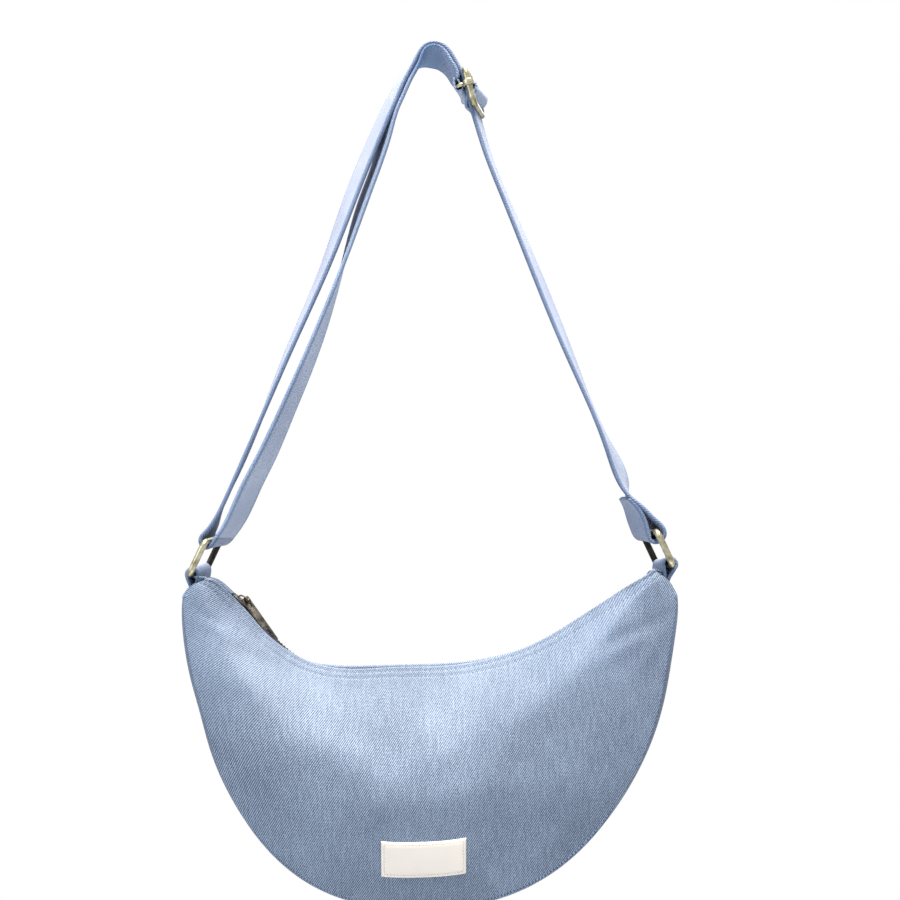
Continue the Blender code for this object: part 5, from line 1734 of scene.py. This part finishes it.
class MakeLining(Operator):
    """Cotton lining walls inside the panels and along the gusset"""

    bl_idname = "denim_bag.lining"
    bl_label = "Lining"

    def execute(self, context):
        cotton = finish("cotton lining weave")
        share = np.linspace(-LINING_SPAN, LINING_SPAN, 60)
        fall = np.linspace(LINING_FROM, LINING_TO, 30)
        for word, side, fold, creases in FACES:
            net = panel_face(share[None, :], fall[:, None], fold, creases)
            net = (net - LINING_BEHIND * outward_of(net)) * np.array([1.0, -side, 1.0])
            name = "lining_" + word + "_cloth"
            wall = grid_object(name, net, net[..., [0, 2]], cotton, flip=side == FRONT)
            give_wall(wall, LINING_WALL)
            settle(wall, "bag", "cotton_lining", "lining_" + word)
        path = np.stack(outline(share), axis=-1)
        along = unit(np.gradient(path, axis=0))
        path = path + LINING_ABOVE * np.stack((-along[:, 1], along[:, 0]), axis=-1)
        net = np.zeros((len(share), 9, 3))
        net[..., [0, 2]] = path[:, None, :]
        net[..., 1] = (seam_depth(share) - LINING_NARROWER)[:, None] * np.linspace(-1.0, 1.0, 9)
        run = np.linspace(0.0, 0.5, len(share))[:, None]
        cloth = np.stack(np.broadcast_arrays(net[..., 1], run), axis=-1)
        band = grid_object("lining_gusset_cloth", net, cloth, cotton)
        give_wall(band, LINING_WALL)
        settle(band, "bag", "cotton_lining", "lining_gusset")
        return {"FINISHED"}


CAMERA_PLACE = (0.0138, -0.950, -0.2698)
CAMERA_LENS = 55.07
FLOOR_LEVEL = -1.5
FLOOR_REACH = 1.6
SKY_STRENGTH, SKY_TONE = 0.64, "#EFF5FF"    # of the surroundings as light
GLOSS_STRENGTH = 0.75                       # and in reflections
# Name, place, target, size, power and colour
LAMPS = (
    ("overhead", (0.08, -0.40, 2.30), (0.0, 0.0, -0.42), 1.6, 348.0, "#FFECDA"),
    ("side", (-1.2, -0.9, 0.2), (0.0, 0.0, -0.42), 0.9, 6.0, "#FFFFFF"),
    ("rim", (0.3, 1.0, 0.5), (0.0, 0.0, -0.4), 0.8, 5.0, "#FFFFFF"),
)


class MakeStage(Operator):
    """Pale floor, white surroundings, soft lamps and the camera of the photograph"""

    bl_idname = "denim_bag.stage"
    bl_label = "Stage"

    def execute(self, context):
        self.make_floor()
        self.make_surroundings(context.scene)
        self.make_lamps()
        camera_data = bpy.data.cameras.new("camera")
        camera_data.lens = CAMERA_LENS
        camera = bpy.data.objects.new("camera", camera_data)
        camera.location = CAMERA_PLACE
        camera.rotation_euler = (math.pi / 2, 0.0, 0.0)
        context.scene.collection.objects.link(camera)
        context.scene.camera = camera
        context.scene.view_settings.view_transform = "Standard"
        return {"FINISHED"}

    def make_floor(self):
        """A pale round floor, far below the bag."""
        turns = np.linspace(0.0, TAU, 65)[:-1]
        radii = np.linspace(0.001, FLOOR_REACH, 12)
        net = np.zeros((len(radii), len(turns), 3))
        net[..., 0] = radii[:, None] * np.cos(turns)
        net[..., 1] = radii[:, None] * np.sin(turns)
        net[..., 2] = FLOOR_LEVEL
        cloth = np.zeros((len(radii), len(turns) + 1, 2))
        material, tree, shader = new_material("pale studio floor", Roughness=0.7)
        tone = finishes().floor
        place = add_node(tree, "ShaderNodeTexCoord").outputs["Object"]
        clouds = add_node(tree, "ShaderNodeTexNoise", {"Vector": place, "Scale": 3.0})
        stops = ((0.3, darker(tone, 0.03)), (0.7, tone))
        ramp = add_node(tree, "ShaderNodeValToRGB", {"Fac": clouds}, stops)
        tree.links.new(ramp.outputs[0], shader.inputs["Base Color"])
        grid_object("floor", net, cloth, material, wrap=(False, True))

    def make_surroundings(self, scene):
        """White to the camera and in reflections, and a dimmer, cooler sky as light."""
        world = bpy.data.worlds.new("studio")
        world.use_nodes = True
        tree = world.node_tree
        tree.nodes.clear()
        rays = add_node(tree, "ShaderNodeLightPath").outputs
        values = {0: rays["Is Camera Ray"], 1: rays["Is Transmission Ray"]}
        seen = add_node(tree, "ShaderNodeMath", values, operation="MAXIMUM")
        light, glossy, white = (
            add_node(tree, "ShaderNodeBackground", {"Color": rgba(tone), "Strength": strength})
            for tone, strength in (
                (linear(SKY_TONE), SKY_STRENGTH), ((1, 1, 1), GLOSS_STRENGTH), ((1, 1, 1), 1.0),
            )
        )
        mix = add_node(tree, "ShaderNodeMixShader", {0: rays["Is Glossy Ray"], 1: light, 2: glossy})
        mix = add_node(tree, "ShaderNodeMixShader", {0: seen, 1: mix, 2: white})
        add_node(tree, "ShaderNodeOutputWorld", {"Surface": mix})
        scene.world = world

    def make_lamps(self):
        """Round area lamps, each aimed at its target."""
        for name, place, target, size, power, code in LAMPS:
            data = bpy.data.lights.new(name, "AREA")
            data.shape = "DISK"
            data.size = size
            data.energy = power
            data.color = linear(code)
            lamp = bpy.data.objects.new(name, data)
            lamp.location = place
            aim = Vector(target) - Vector(place)
            lamp.rotation_euler = aim.to_track_quat("-Z", "Y").to_euler()
            bpy.context.scene.collection.objects.link(lamp)


class DenimBagPanel(Panel):
    """Lists the bag's pieces"""

    bl_idname = "VIEW3D_PT_denim_bag"
    bl_label = "Denim Bag"
    bl_space_type = "VIEW_3D"
    bl_region_type = "UI"
    bl_category = "Denim Bag"

    def draw(self, context):
        for maker in MAKERS:
            self.layout.operator(maker.bl_idname)
        for group in (body_sizes(), strap_sizes(), hardware_sizes(), finishes()):
            box = self.layout.box()
            for name in group.__annotations__:
                box.prop(group, name)


MAKERS = (
    MakePanels,
    MakeGusset,
    MakeEndPatches,
    MakeTabs,
    MakeStrap,
    MakeRings,
    MakeBuckle,
    MakeZip,
    MakeSlider,
    MakeLabel,
    MakeLining,
    MakeStage,
)
GROUPS = (
    ("bag_body", BagBodySizes),
    ("bag_strap", StrapSizes),
    ("bag_hardware", HardwareSizes),
    ("bag_finishes", Finishes),
)


def register():
    """Registers the sizes, the operators and the panel."""
    for name, group in GROUPS:
        bpy.utils.register_class(group)
        setattr(bpy.types.Scene, name, PointerProperty(type=group))
    for maker in (*MAKERS, DenimBagPanel):
        bpy.utils.register_class(maker)


def unregister():
    """Takes them off again."""
    for maker in reversed((*MAKERS, DenimBagPanel)):
        bpy.utils.unregister_class(maker)
    for name, group in reversed(GROUPS):
        delattr(bpy.types.Scene, name)
        bpy.utils.unregister_class(group)


def main():
    """Registers the add-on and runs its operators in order."""
    register()
    for maker in MAKERS:
        family, action = maker.bl_idname.split(".")
        getattr(getattr(bpy.ops, family), action)()


if __name__ == "__main__":
    main()
